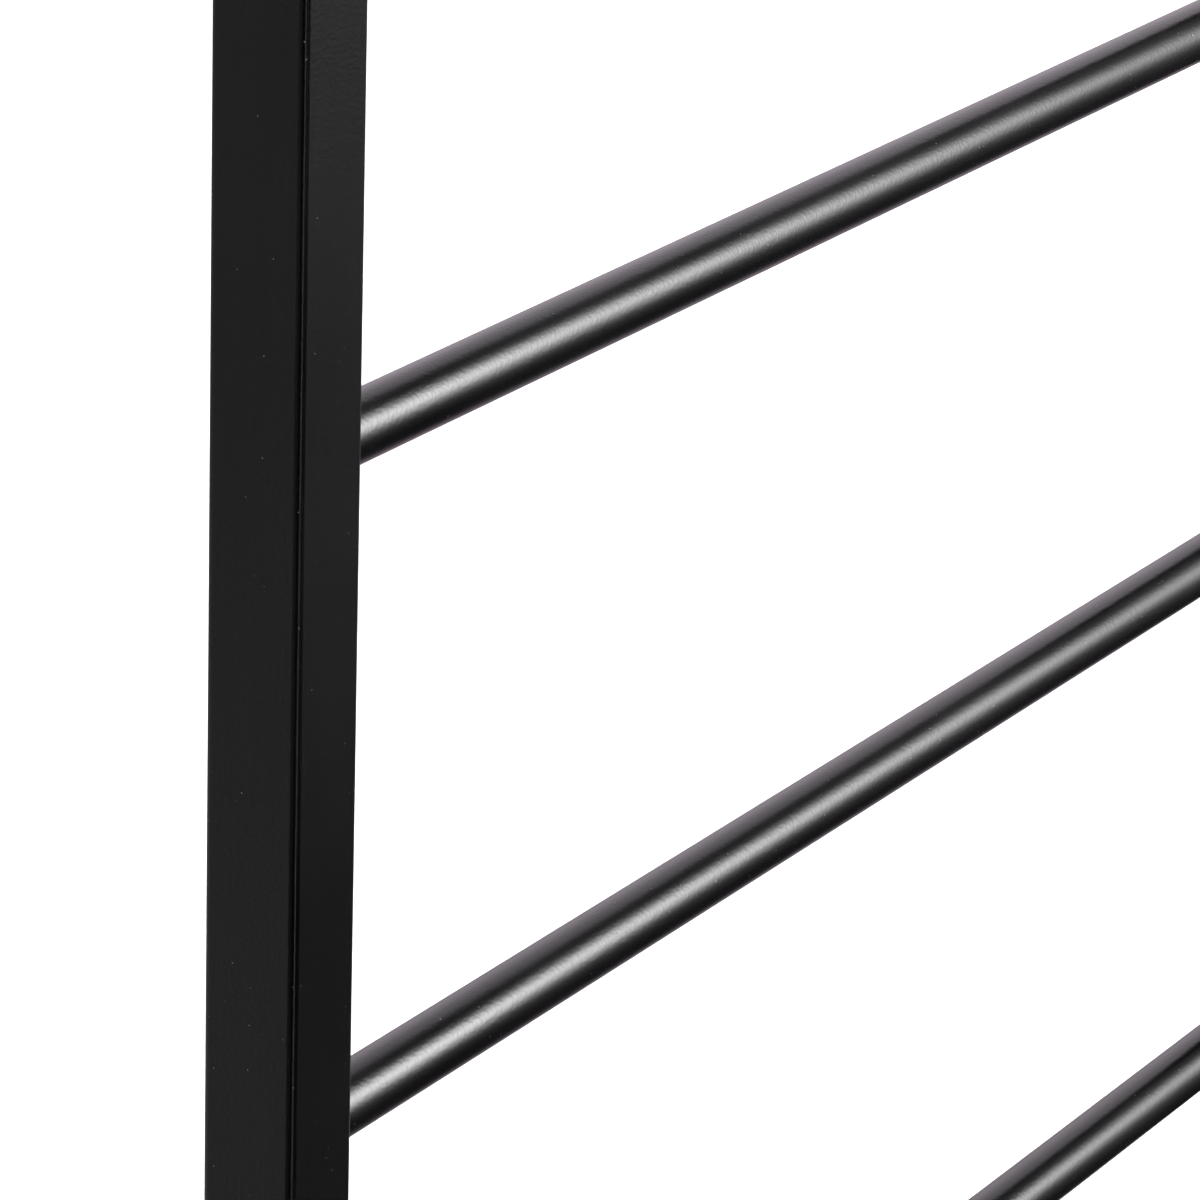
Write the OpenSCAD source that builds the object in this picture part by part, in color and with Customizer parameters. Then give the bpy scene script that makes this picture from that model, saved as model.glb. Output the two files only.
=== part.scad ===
// Free-standing electric towel warmer: two square uprights joined by round heated bars,
// on two foot tubes. The front faces -Y, the bars run along X, and the origin is on the
// floor under the middle of the rack. All lengths are in millimetres.

/* [Frame] */
// Overall width across both uprights
rack_w = 600; // [400:10:900]
// Side of the square upright and foot tube
post_side = 25; // [25:1:40]
// Wall of the square tube
post_wall = 1.5; // [1.2:0.1:2]
// Rounding of the square tube's outer edges
post_edge_r = 2; // [1:0.25:3]
// Height of the upright above the top bar's centre line
post_above_bar = 30; // [26:1:120]

/* [Bars] */
// Outer diameter of a bar
bar_d = 16; // [12:0.5:20]
// Wall of a bar
bar_wall = 1.2; // [0.8:0.1:2]
// Centre-to-centre distance between neighbouring bars
bar_pitch = 165; // [130:5:220]
// Height of the lowest bar's centre line above the floor
lowest_bar_z = 130; // [128:2:220]
// Gap all round a bar in its weld hole
bar_hole_gap = 0.1; // [0.05:0.05:0.3]

/* [Feet] */
// Length of a foot, front to back, over its end caps
foot_len = 350; // [280:10:450]
// Height of a rubber pad under the foot
pad_h = 6; // [4:0.5:10]
// Diameter of a rubber pad
pad_d = 20; // [14:1:24]
// Distance from the foot's end to the middle of its pad
pad_inset = 28; // [20:1:60]
// Height of the spigot that enters the upright
spigot_h = 60; // [45:1:70]
// Wall of the spigot tube
spigot_wall = 1.5; // [1:0.1:2]
// Gap between spigot and upright on each side
spigot_gap = 0.3; // [0.2:0.05:0.6]

/* [Caps] */
// Thickness of an end cap's visible head
cap_head_h = 3; // [2:0.5:5]
// Depth of the cap's hollow plug inside the tube
cap_plug_h = 14; // [8:1:18]
// Wall of the cap's plug
cap_plug_wall = 1.6; // [1.2:0.1:2]
// Gap between plug and tube on each side
cap_gap = 0.1; // [0.05:0.05:0.3]

/* [Fasteners] */
// Thread diameter of the foot screws and the wall inserts
screw_d = 6; // [5:0.5:6]
// Length of a foot screw under its head
screw_len = 10; // [9:1:12]
// Clearance round a screw in a plain hole
screw_hole_gap = 0.3; // [0.2:0.05:0.5]
// Gap left between a modelled thread and its nut
thread_gap = 0.05; // [0.02:0.01:0.1]
// Core diameter of the wall inserts' thread
insert_bore_d = 5; // [4:0.1:5.2]
// Outer diameter of a wall insert's body
insert_d = 9; // [8:0.1:9]
// Depth of a wall insert behind the upright's face
insert_depth = 8.5; // [6:0.5:9]
// Bar gap, counted from the lowest, that holds the lower wall inserts
insert_low_gap = 2; // [1:1:2]
// Bar gap, counted from the lowest, that holds the upper wall inserts
insert_high_gap = 5; // [3:1:5]

/* [Switch] */
// Height of the switch's centre above the lowest bar's centre line
switch_above_bar = 85; // [70:1:110]
// Width and height of the switch's bezel
bezel_size = [15, 21]; // [12:0.5:24]
// Thickness of the bezel in front of the upright
bezel_t = 2; // [1.5:0.1:2.5]
// Width and height of the cut-out in the upright
cutout_size = [13, 19]; // [11:0.5:20]
// Gap between switch housing and cut-out on each side
cutout_gap = 0.1; // [0.05:0.05:0.3]
// Width and height of the rocker's opening in the housing
rocker_window = [10.2, 16.2]; // [8:0.1:17]
// Depth of the housing behind the upright's face
housing_depth = 13; // [11:0.5:14]
// Depth of the rocker's opening behind the upright's face
window_depth = 8; // [7:0.5:9]
// Full travel of the rocker, from off to on, in degrees
rocker_travel = 20; // [12:1:20]
// Gap between rocker and window
rocker_gap = 0.3; // [0.25:0.05:0.4]
// Diameter of the rocker's pivot pins
pivot_d = 2.4; // [1.6:0.1:3]
// Radial gap between a pivot pin and its hole
pivot_gap = 0.05; // [0.02:0.01:0.1]

/* [Heating cable] */
// Diameter of the heating cable
cable_d = 3; // [2:0.1:4]
// Centre-line radius of the cable's turns between bars
cable_bend_r = 9.5; // [6:0.5:11]
// Centre-line radius of the cable's last turn, into the return run
return_bend_r = 4; // [3.5:0.25:6]
// Distance from the return run's centre line to the upright's outer wall
return_gap = 2.3; // [2:0.1:3]

/* [Inlet gland] */
// Thread diameter of the cable gland
gland_thread_d = 12; // [10:0.5:12]
// Clear bore through the gland
gland_bore_d = 8; // [6:0.1:8]
// Diameter across the gland's round parts
gland_d = 17; // [15:0.5:18]
// Diameter of mains cord that the seal closes on
cord_d = 6.8; // [5:0.1:7]

/* [Hidden] */
$fn = 64;
bar_count = 6;

// Finishes
coat_colour = [0.10, 0.10, 0.11];
plastic_colour = [0.06, 0.06, 0.06];
rubber_colour = [0.13, 0.13, 0.13];
zinc_colour = [0.70, 0.71, 0.73];
brass_colour = [0.78, 0.62, 0.30];
cable_colour = [0.80, 0.78, 0.72];
lead_colour = [0.45, 0.24, 0.12];

// Uprights
eps = 0.5;                                       // how far a cutter runs past a face
cavity_half = post_side / 2 - post_wall;         // from the tube's middle to its inner wall
inner_edge_r = max(post_edge_r - post_wall, 0.5);
post_x = (rack_w - post_side) / 2;               // middle of the right upright
post_bottom = pad_h + post_side;                 // the upright stands on the foot tube
inner_wall_x = post_x - cavity_half;             // the bars end flush with this face
top_bar_z = bar_z(1);
post_top = top_bar_z + post_above_bar;
bar_r = bar_d / 2;
bar_hole_r = bar_r + bar_hole_gap;

// Feet
spigot_side = 2 * (cavity_half - spigot_gap);
spigot_edge_r = 1;
spigot_inner_edge_r = 0.5;
spigot_inner_half = spigot_side / 2 - spigot_wall;
foot_screw_z = post_bottom + spigot_h / 2;
screw_hole_r = screw_d / 2 + screw_hole_gap;
screw_head_r = 5.25;
screw_head_h = 3.3;
hex_socket_d = 4.6;                              // across the corners of a 4 mm key
hex_socket_h = 2;
weld_nut_side = 10;
weld_nut_t = 5;
pad_y = foot_len / 2 - pad_inset;
pad_neck_r = 3.8;
pad_head_r = 5;
pad_head_h = 2.5;
pad_hole_gap = 0.2;
pad_neck_gap = 0.1;                              // play of the pad's head above the wall
pad_edge_r = 1.5;

// Wall inserts
insert_flange_d = 12;
insert_flange_t = 1;
insert_hole_gap = 0.1;
insert_low_z = gap_mid_z(insert_low_gap);
insert_high_z = gap_mid_z(insert_high_gap);

// Switch, drawn in its own frame: the upright's front face is y = 0 and +Y goes into the tube
switch_z = lowest_bar_z + switch_above_bar;
housing_size = [cutout_size[0] - 2 * cutout_gap, cutout_size[1] - 2 * cutout_gap];
bezel_edge_r = 1.5;
pivot_y = 1;                                     // depth of the rocker's pivot
rocker_w = rocker_window[0] - 2 * rocker_gap;
rocker_r = rocker_window[1] / 2 - rocker_gap;    // its ends turn inside the window
rocker_dip_y = -2.6;                             // middle of the rocker's face
rocker_tip_y = -3.9;                             // ends of the rocker's face
rocker_back_y = 4;
rocker_back_half = 2.5;
rocker_side_y = 0.6;
pin_len = 1;
tab_w = 4.8;
tab_t = 0.8;
tab_spread = 10;                                 // between the two tabs
tab_gap = 0.05;
tab_inner_y = window_depth + 0.6;
tab_outer_y = 17.5;
lug_h = 0.6;                                     // snap lugs behind the upright's wall
lug_y = [post_wall + 0.1, post_wall + 3];
lug_w = 6;

// Cable and wiring
cable_r = cable_d / 2;
riser_x = inner_wall_x + cable_bend_r;
return_x = post_x + cavity_half - return_gap;
splice_r = 2.5;
splice_h = 12;
splice_z = lowest_bar_z + 30;                    // where the heating cable starts
lead_r = 0.8;
cutout_r = 2;
cutout_h = 11;
cutout_z = splice_z + splice_h + 5;
sleeve_r = 3;
sleeve_gap = 0.15;
sleeve_over = 3;                                 // how far the sleeve runs past the cut-out
neutral_r = 2;
neutral_h = 14;
neutral_z = lowest_bar_z + 20;
lower_tab_z = switch_z - tab_spread / 2;
tab_solder_x = max(riser_x, post_x - tab_w / 2 + lead_r);
tab_solder_y = (housing_depth + tab_outer_y - post_side) / 2;
lead_straight = 2;                               // past the sleeve, before the first knee
lead_step_rise = 6;
lead_knee_r = lead_r + 0.05;

// Gland, on the back of the right upright; +Y leads out of the tube
gland_z = (post_bottom + spigot_h + lowest_bar_z - bar_r) / 2;
gland_thread_r = gland_thread_d / 2;
gland_hole_gap = 0.15;
gland_flange_t = 3.5;
gland_stub_len = 7;                              // from the back face into the tube
gland_neck_r = 6.4;
gland_neck_len = 8;
gland_cup_r = 5.4;                               // pocket in the neck that holds the seal
gland_cup_len = 6;
gland_nut_af = 14.5;
gland_nut_t = 3.8;
seal_gap = 0.1;
dome_len = 12;
dome_hex_len = 7.2;
dome_cone_d = [14.6, 11.9];
dome_end_t = 2;
dome_mouth_r = 4.4;
dome_back_gap = 0.4;

// Earthing, on the back of the right upright just above the lowest bar's level
earth_z = lowest_bar_z;
earth_d = 4;
earth_len = 8;
earth_head_r = 4;
earth_head_h = 2.6;
earth_slot_w = 1.2;
earth_slot_h = 1;
earth_nut_d = 8.08;                              // across the corners of a 7 mm nut
earth_nut_t = 3.2;
ring_t = 0.8;
ring_r = 4;
ring_tongue_w = 2.6;
ring_barrel_z = ring_r + 0.6;                    // from the ring's centre down to its barrel
ring_barrel_r = 1.75;
ring_barrel_bore_r = 1.1;
ring_barrel_h = 7;
star_t = 0.6;
star_teeth = 8;
star_body_r = 3.2;
star_tip_r = 3.8;
star_tooth_w = 1;

function bar_z(i) = lowest_bar_z + (bar_count - i) * bar_pitch;
function gap_mid_z(n) = lowest_bar_z + (n - 0.5) * bar_pitch;

// Square with rounded corners, centred
module rounded_square(size, r) {
  square([size[0] - 2 * r, size[1]], center = true);
  square([size[0], size[1] - 2 * r], center = true);
  for (sx = [-1, 1], sy = [-1, 1])
    translate([sx * (size[0] / 2 - r), sy * (size[1] / 2 - r)]) circle(r);
}

// Length of square tube along +Z, open at both ends
module square_tube(side, wall, edge_r, inner_r, length) {
  linear_extrude(length) difference() {
    rounded_square([side, side], edge_r);
    rounded_square([side - 2 * wall, side - 2 * wall], inner_r);
  }
}

// Round cutter or rod along +Y
module rod_y(r, y0, y1) {
  translate([0, y0, 0]) rotate([-90, 0, 0]) cylinder(r = r, h = y1 - y0);
}

// Round cutter or rod along +X
module rod_x(r, x0, x1) {
  translate([x0, 0, 0]) rotate([0, 90, 0]) cylinder(r = r, h = x1 - x0);
}

// What both uprights have: bar holes facing +X, screw and insert holes in the back
module plain_upright() {
  difference() {
    translate([0, 0, post_bottom])
      square_tube(post_side, post_wall, post_edge_r, inner_edge_r, post_top - post_bottom);
    for (i = [1:bar_count])
      translate([0, 0, bar_z(i)]) rod_x(bar_hole_r, cavity_half - eps, post_side / 2 + eps);
    translate([0, 0, foot_screw_z]) rod_y(screw_hole_r, cavity_half - eps, post_side / 2 + eps);
    for (z = [insert_low_z, insert_high_z])
      translate([0, 0, z])
        rod_y(insert_d / 2 + insert_hole_gap, cavity_half - eps, post_side / 2 + eps);
  }
}

module left_upright() {
  color(coat_colour) translate([-post_x, 0, 0]) plain_upright();
}

module right_upright() {
  color(coat_colour) translate([post_x, 0, 0]) difference() {
    mirror([1, 0, 0]) plain_upright();
    translate([-cutout_size[0] / 2, -post_side / 2 - eps, switch_z - cutout_size[1] / 2])
      cube([cutout_size[0], post_wall + 2 * eps, cutout_size[1]]);
    translate([0, 0, gland_z]) rod_y(gland_thread_r + gland_hole_gap, cavity_half - eps, post_side / 2 + eps);
    translate([0, 0, earth_z])
      rod_y(earth_d / 2 + screw_hole_gap, cavity_half - eps, post_side / 2 + eps);
  }
}

// A bar ends flush with the inner surface of each upright's wall
module bar(i) {
  color(coat_colour) translate([0, 0, bar_z(i)]) difference() {
    rod_x(bar_r, -inner_wall_x, inner_wall_x);
    rod_x(bar_r - bar_wall, -inner_wall_x - eps, inner_wall_x + eps);
  }
}

// Push-in cap for a square tube: head on z = 0 upwards, hollow plug downwards
module tube_cap() {
  plug_side = 2 * (cavity_half - cap_gap);
  inner_side = plug_side - 2 * cap_plug_wall;
  color(plastic_colour) {
    linear_extrude(cap_head_h) rounded_square([post_side, post_side], post_edge_r);
    translate([0, 0, -cap_plug_h]) linear_extrude(cap_plug_h) difference() {
      rounded_square([plug_side, plug_side], inner_edge_r);
      square([inner_side, inner_side], center = true);
    }
  }
}

module top_cap(side) {
  translate([side * post_x, 0, post_top]) tube_cap();
}

// A foot tube lies along Y, with a hole for each pad's neck
module foot_tube(side) {
  tube_len = foot_len - 2 * cap_head_h;
  color(coat_colour) translate([side * post_x, 0, 0]) difference() {
    translate([0, -tube_len / 2, pad_h + post_side / 2]) rotate([-90, 0, 0])
      square_tube(post_side, post_wall, post_edge_r, inner_edge_r, tube_len);
    for (y = [-pad_y, pad_y])
      translate([0, y, pad_h - eps])
        cylinder(r = pad_neck_r + pad_hole_gap, h = post_wall + 2 * eps);
  }
}

// The spigot is welded on the foot tube and enters the upright
module foot_spigot(side) {
  color(coat_colour) translate([side * post_x, 0, 0]) difference() {
    translate([0, 0, post_bottom])
      square_tube(spigot_side, spigot_wall, spigot_edge_r, spigot_inner_edge_r, spigot_h);
    translate([0, 0, foot_screw_z])
      rod_y(screw_hole_r, spigot_inner_half - eps, spigot_side / 2 + eps);
  }
}

// The end is -1 for the front cap and 1 for the rear cap
module foot_cap(side, end) {
  translate([side * post_x, end * (foot_len / 2 - cap_head_h), pad_h + post_side / 2])
    rotate([-90 * end, 0, 0]) tube_cap();
}

// Rubber pad with a neck through the tube's wall and a head that holds it there
module foot_pad(side, end) {
  neck_h = post_wall + pad_neck_gap;
  color(rubber_colour) translate([side * post_x, end * pad_y, 0]) rotate_extrude() {
    square([pad_d / 2 - pad_edge_r, pad_h]);
    translate([0, pad_edge_r]) square([pad_d / 2, pad_h - pad_edge_r]);
    translate([pad_d / 2 - pad_edge_r, pad_edge_r]) intersection() {
      circle(pad_edge_r);
      translate([0, -pad_edge_r]) square(pad_edge_r);
    }
    square([pad_neck_r, pad_h + neck_h]);
    translate([0, pad_h + neck_h]) square([pad_head_r, pad_head_h]);
  }
}

// Domed screw head that stands on y = 0 and leads out along +Y
module domed_head(r, h) {
  dome_r = 2 * r;
  rotate([-90, 0, 0]) rotate_extrude() intersection() {
    square([r, h]);
    translate([0, h - dome_r]) circle(dome_r);
  }
}

// Button-head screws, driven from behind through upright and spigot
module foot_screws() {
  color(zinc_colour) for (side = [-1, 1])
    translate([side * post_x, post_side / 2, foot_screw_z]) difference() {
      union() {
        rod_y(screw_d / 2, -screw_len, eps);
        domed_head(screw_head_r, screw_head_h);
      }
      translate([0, screw_head_h - hex_socket_h, 0]) rotate([-90, 0, 0])
        cylinder(d = hex_socket_d, h = hex_socket_h + eps, $fn = 6);
    }
}

// Square nuts welded inside the spigots
module foot_weld_nuts() {
  color(zinc_colour) for (side = [-1, 1])
    translate([side * post_x, spigot_inner_half - weld_nut_t, foot_screw_z]) difference() {
      translate([-weld_nut_side / 2, 0, -weld_nut_side / 2])
        cube([weld_nut_side, weld_nut_t, weld_nut_side]);
      rod_y(screw_d / 2 + thread_gap, -eps, weld_nut_t + eps);
    }
}

// Flanged, threaded inserts in the backs of the uprights
module wall_mount_inserts() {
  color(zinc_colour) for (side = [-1, 1], z = [insert_low_z, insert_high_z])
    translate([side * post_x, post_side / 2, z]) difference() {
      union() {
        rod_y(insert_d / 2, -insert_depth, eps);
        rod_y(insert_flange_d / 2, 0, insert_flange_t);
      }
      rod_y(insert_bore_d / 2, -insert_depth - eps, insert_flange_t + eps);
    }
}

// Cable along X at height z
module cable_run(x0, x1, z) {
  translate([0, 0, z]) rod_x(cable_r, x0, x1);
}

// Cable along Z at x
module cable_rise(x, z0, z1) {
  translate([x, 0, z0]) cylinder(r = cable_r, h = z1 - z0);
}

// Quarter turn in the XZ plane about [x, z], starting at the given angle from +X
module cable_turn(x, z, start, r) {
  translate([x, 0, z]) rotate([90, 0, 0]) rotate([0, 0, start])
    rotate_extrude(angle = 90) translate([r, 0]) circle(cable_r);
}

// Riser between bar i and the bar above it, in the left (-1) or right (1) upright
module cable_link(side, i) {
  z0 = bar_z(i) + cable_bend_r;
  z1 = bar_z(i - 1) - cable_bend_r;
  cable_turn(side * inner_wall_x, z0, side > 0 ? -90 : 180, cable_bend_r);
  cable_rise(side * riser_x, z0, z1);
  cable_turn(side * inner_wall_x, z1, side > 0 ? 0 : 90, cable_bend_r);
}

// One serpentine: up from the lowest bar to the top one, then down the right upright
module heating_cable() {
  color(cable_colour) {
    cable_rise(riser_x, lowest_bar_z + cable_bend_r, splice_z);
    cable_turn(inner_wall_x, lowest_bar_z + cable_bend_r, -90, cable_bend_r);
    for (i = [1:bar_count]) cable_run(-inner_wall_x, inner_wall_x, bar_z(i));
    for (i = [2:bar_count]) cable_link(i % 2 == 0 ? -1 : 1, i);
    cable_run(inner_wall_x, return_x - return_bend_r, top_bar_z);
    cable_turn(return_x - return_bend_r, top_bar_z - return_bend_r, 0, return_bend_r);
    cable_rise(return_x, neutral_z + neutral_h, top_bar_z - return_bend_r);
  }
}

// Crimped sleeve between the heating cable and the cut-out's lead
module cable_splice() {
  color(zinc_colour) translate([riser_x, 0, splice_z]) cylinder(r = splice_r, h = splice_h);
}

module cutout_lower_lead() {
  color(lead_colour) translate([riser_x, 0, splice_z + splice_h])
    cylinder(r = lead_r, h = cutout_z - splice_z - splice_h);
}

// Thermal cut-out: a metal case with a resin cone on its upper end
module thermal_cutout() {
  cone_h = 3;
  color(zinc_colour) translate([riser_x, 0, cutout_z]) {
    cylinder(r = cutout_r, h = cutout_h - cone_h);
    translate([0, 0, cutout_h - cone_h]) cylinder(r1 = cutout_r, r2 = lead_r, h = cone_h);
  }
}

module cutout_sleeve() {
  color(cable_colour) translate([riser_x, 0, cutout_z - sleeve_over]) difference() {
    cylinder(r = sleeve_r, h = cutout_h + 2 * sleeve_over);
    translate([0, 0, -eps])
      cylinder(r = cutout_r + sleeve_gap, h = cutout_h + 2 * sleeve_over + 2 * eps);
  }
}

// Lead from the cut-out to the switch's lower tab, with a slanted step across to the tab
module cutout_upper_lead() {
  start_z = cutout_z + cutout_h;
  knee_z = start_z + sleeve_over + lead_straight;
  end_z = lower_tab_z - tab_t / 2;
  step = [tab_solder_x - riser_x, tab_solder_y, lead_step_rise];
  color(lead_colour) translate([riser_x, 0, 0]) {
    translate([0, 0, start_z]) cylinder(r = lead_r, h = knee_z - start_z);
    translate([0, 0, knee_z]) sphere(lead_knee_r);
    translate([0, 0, knee_z])
      rotate([0, acos(step.z / norm(step)), atan2(step.y, step.x)])
        cylinder(r = lead_r, h = norm(step));
    translate([step.x, step.y, knee_z + step.z]) sphere(lead_knee_r);
    translate([step.x, step.y, knee_z + step.z])
      cylinder(r = lead_r, h = end_z - knee_z - step.z);
  }
}

// Closed crimp sleeve where the heating cable ends
module neutral_splice() {
  color(zinc_colour) translate([return_x, 0, neutral_z]) cylinder(r = neutral_r, h = neutral_h);
}

// Block with its middle on the Y axis, between two depths
module block_y(size, y0, y1) {
  translate([-size[0] / 2, y0, -size[1] / 2]) cube([size[0], y1 - y0, size[1]]);
}

module at_switch() {
  translate([post_x, -post_side / 2, switch_z]) children();
}

module switch_tab(z, gap) {
  translate([0, 0, z])
    block_y([tab_w + 2 * gap, tab_t + 2 * gap], tab_inner_y - gap, tab_outer_y + gap);
}

module switch_housing() {
  color(plastic_colour) at_switch() difference() {
    union() {
      rotate([90, 0, 0]) linear_extrude(bezel_t) rounded_square(bezel_size, bezel_edge_r);
      block_y(housing_size, -eps, housing_depth);
      for (side = [-1, 1])
        translate([-lug_w / 2, 0, 0]) rotate([90, 0, 90]) linear_extrude(lug_w)
          polygon([
            [lug_y[0], side * (housing_size[1] / 2 - eps)],
            [lug_y[0], side * (housing_size[1] / 2 + lug_h)],
            [lug_y[1], side * housing_size[1] / 2],
            [lug_y[1], side * (housing_size[1] / 2 - eps)]
          ]);
    }
    block_y(rocker_window, -bezel_t - eps, window_depth);
    translate([0, pivot_y, 0])
      rod_x(pivot_d / 2 + pivot_gap, -housing_size[0] / 2 - eps, housing_size[0] / 2 + eps);
    for (z = [-tab_spread / 2, tab_spread / 2]) switch_tab(z, tab_gap);
    for (z = [-tab_spread / 2, tab_spread / 2])
      translate([0, 0, z]) block_y([tab_w, tab_t], window_depth - eps, tab_inner_y);
  }
}

// The rocker at rest is off: its lower end is pressed in
module switch_rocker() {
  color(plastic_colour) at_switch() translate([0, pivot_y, 0])
    rotate([rocker_travel / 2, 0, 0]) {
      intersection() {
        rod_x(rocker_r, -rocker_w / 2, rocker_w / 2);
        translate([-rocker_w / 2 - eps, -pivot_y, 0]) rotate([90, 0, 90])
          linear_extrude(rocker_w + 2 * eps) polygon([
            [rocker_tip_y, rocker_r + eps],
            [rocker_dip_y, 0],
            [rocker_tip_y, -rocker_r - eps],
            [rocker_side_y, -rocker_r - eps],
            [rocker_back_y, -rocker_back_half],
            [rocker_back_y, rocker_back_half],
            [rocker_side_y, rocker_r + eps]
          ]);
      }
      rod_x(pivot_d / 2, -rocker_w / 2 - pin_len, rocker_w / 2 + pin_len);
    }
}

module switch_terminals() {
  color(brass_colour) at_switch()
    for (z = [-tab_spread / 2, tab_spread / 2]) switch_tab(z, 0);
}

module at_gland() {
  translate([post_x, post_side / 2, gland_z]) children();
}

module gland_body() {
  color(plastic_colour) at_gland() difference() {
    union() {
      rod_y(gland_thread_r, -gland_stub_len, eps);
      rod_y(gland_d / 2, 0, gland_flange_t);
      rod_y(gland_neck_r, gland_flange_t - eps, gland_flange_t + gland_neck_len);
    }
    rod_y(gland_bore_d / 2, -gland_stub_len - eps, gland_flange_t + gland_neck_len + eps);
    rod_y(gland_cup_r, gland_flange_t + gland_neck_len - gland_cup_len,
      gland_flange_t + gland_neck_len + eps);
  }
}

module gland_locknut() {
  color(plastic_colour) at_gland() difference() {
    translate([0, -post_wall - gland_nut_t, 0]) rotate([-90, 0, 0]) rotate([0, 0, 30])
      cylinder(d = gland_nut_af / cos(30), h = gland_nut_t, $fn = 6);
    rod_y(gland_thread_r + thread_gap, -post_wall - gland_nut_t - eps, -post_wall + eps);
  }
}

module gland_seal() {
  seal_y0 = gland_flange_t + gland_neck_len - gland_cup_len;
  color(rubber_colour) at_gland() difference() {
    rod_y(gland_cup_r - seal_gap, seal_y0, gland_flange_t + gland_neck_len);
    rod_y(cord_d / 2, seal_y0 - eps, gland_flange_t + gland_neck_len + eps);
  }
}

module gland_dome_nut() {
  y0 = gland_flange_t + dome_back_gap;
  color(plastic_colour) at_gland() difference() {
    union() {
      translate([0, y0, 0]) rotate([-90, 0, 0])
        cylinder(d = gland_d, h = dome_hex_len, $fn = 6);
      translate([0, y0 + dome_hex_len, 0]) rotate([-90, 0, 0])
        cylinder(d1 = dome_cone_d[0], d2 = dome_cone_d[1], h = dome_len - dome_hex_len);
    }
    rod_y(gland_neck_r + thread_gap, y0 - eps, y0 + dome_len - dome_end_t);
    rod_y(dome_mouth_r, y0, y0 + dome_len + eps);
  }
}

module at_earth() {
  translate([post_x, post_side / 2, earth_z]) children();
}

module earth_screw() {
  color(zinc_colour) at_earth() difference() {
    union() {
      rod_y(earth_d / 2, -earth_len, eps);
      domed_head(earth_head_r, earth_head_h);
    }
    translate([-earth_head_r - eps, earth_head_h - earth_slot_h, -earth_slot_w / 2])
      cube([2 * earth_head_r + 2 * eps, earth_slot_h + eps, earth_slot_w]);
  }
}

// Ring lies on the inside of the wall; its barrel points down towards the gland
module earth_ring_terminal() {
  color(brass_colour) at_earth() difference() {
    union() {
      rod_y(ring_r, -post_wall - ring_t, -post_wall);
      translate([-ring_tongue_w / 2, -post_wall - ring_t, -ring_barrel_z - 1])
        cube([ring_tongue_w, ring_t, ring_barrel_z]);
      translate([0, -post_wall - ring_barrel_r, -ring_barrel_z - ring_barrel_h])
        cylinder(r = ring_barrel_r, h = ring_barrel_h);
    }
    rod_y(earth_d / 2 + screw_hole_gap, -post_wall - ring_t - eps, -post_wall + eps);
    translate([0, -post_wall - ring_barrel_r, -ring_barrel_z - ring_barrel_h - eps])
      cylinder(r = ring_barrel_bore_r, h = ring_barrel_h - ring_t);
  }
}

module earth_star_washer() {
  y1 = -post_wall - ring_t;
  color(zinc_colour) at_earth() difference() {
    union() {
      rod_y(star_body_r, y1 - star_t, y1);
      for (k = [0:star_teeth - 1]) rotate([0, k * 360 / star_teeth, 0])
        translate([-star_tooth_w / 2, y1 - star_t, 0])
          cube([star_tooth_w, star_t, star_tip_r]);
    }
    rod_y(earth_d / 2 + screw_hole_gap, y1 - star_t - eps, y1 + eps);
  }
}

module earth_nut() {
  y1 = -post_wall - ring_t - star_t;
  color(zinc_colour) at_earth() difference() {
    translate([0, y1 - earth_nut_t, 0]) rotate([-90, 0, 0])
      cylinder(d = earth_nut_d, h = earth_nut_t, $fn = 6);
    rod_y(earth_d / 2 + thread_gap, y1 - earth_nut_t - eps, y1 + eps);
  }
}

left_upright();
right_upright();
for (i = [1:bar_count])
  bar(i);
top_cap(-1);  // left_top_cap
top_cap(1);  // right_top_cap
foot_tube(-1);  // left_foot_tube
foot_tube(1);  // right_foot_tube
foot_spigot(-1);  // left_foot_spigot
foot_spigot(1);  // right_foot_spigot
foot_cap(-1, -1);  // left_foot_front_cap
foot_cap(-1, 1);  // left_foot_rear_cap
foot_cap(1, -1);  // right_foot_front_cap
foot_cap(1, 1);  // right_foot_rear_cap
foot_pad(-1, -1);  // left_foot_front_pad
foot_pad(-1, 1);  // left_foot_rear_pad
foot_pad(1, -1);  // right_foot_front_pad
foot_pad(1, 1);  // right_foot_rear_pad
foot_screws();
foot_weld_nuts();
wall_mount_inserts();
heating_cable();
cable_splice();
cutout_lower_lead();
thermal_cutout();
cutout_sleeve();
cutout_upper_lead();
neutral_splice();
switch_housing();
switch_rocker();
switch_terminals();
gland_body();
gland_locknut();
gland_seal();
gland_dome_nut();
earth_screw();
earth_ring_terminal();
earth_star_washer();
earth_nut();
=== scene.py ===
import math

import bmesh
import bpy
from mathutils import Matrix, Vector


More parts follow.
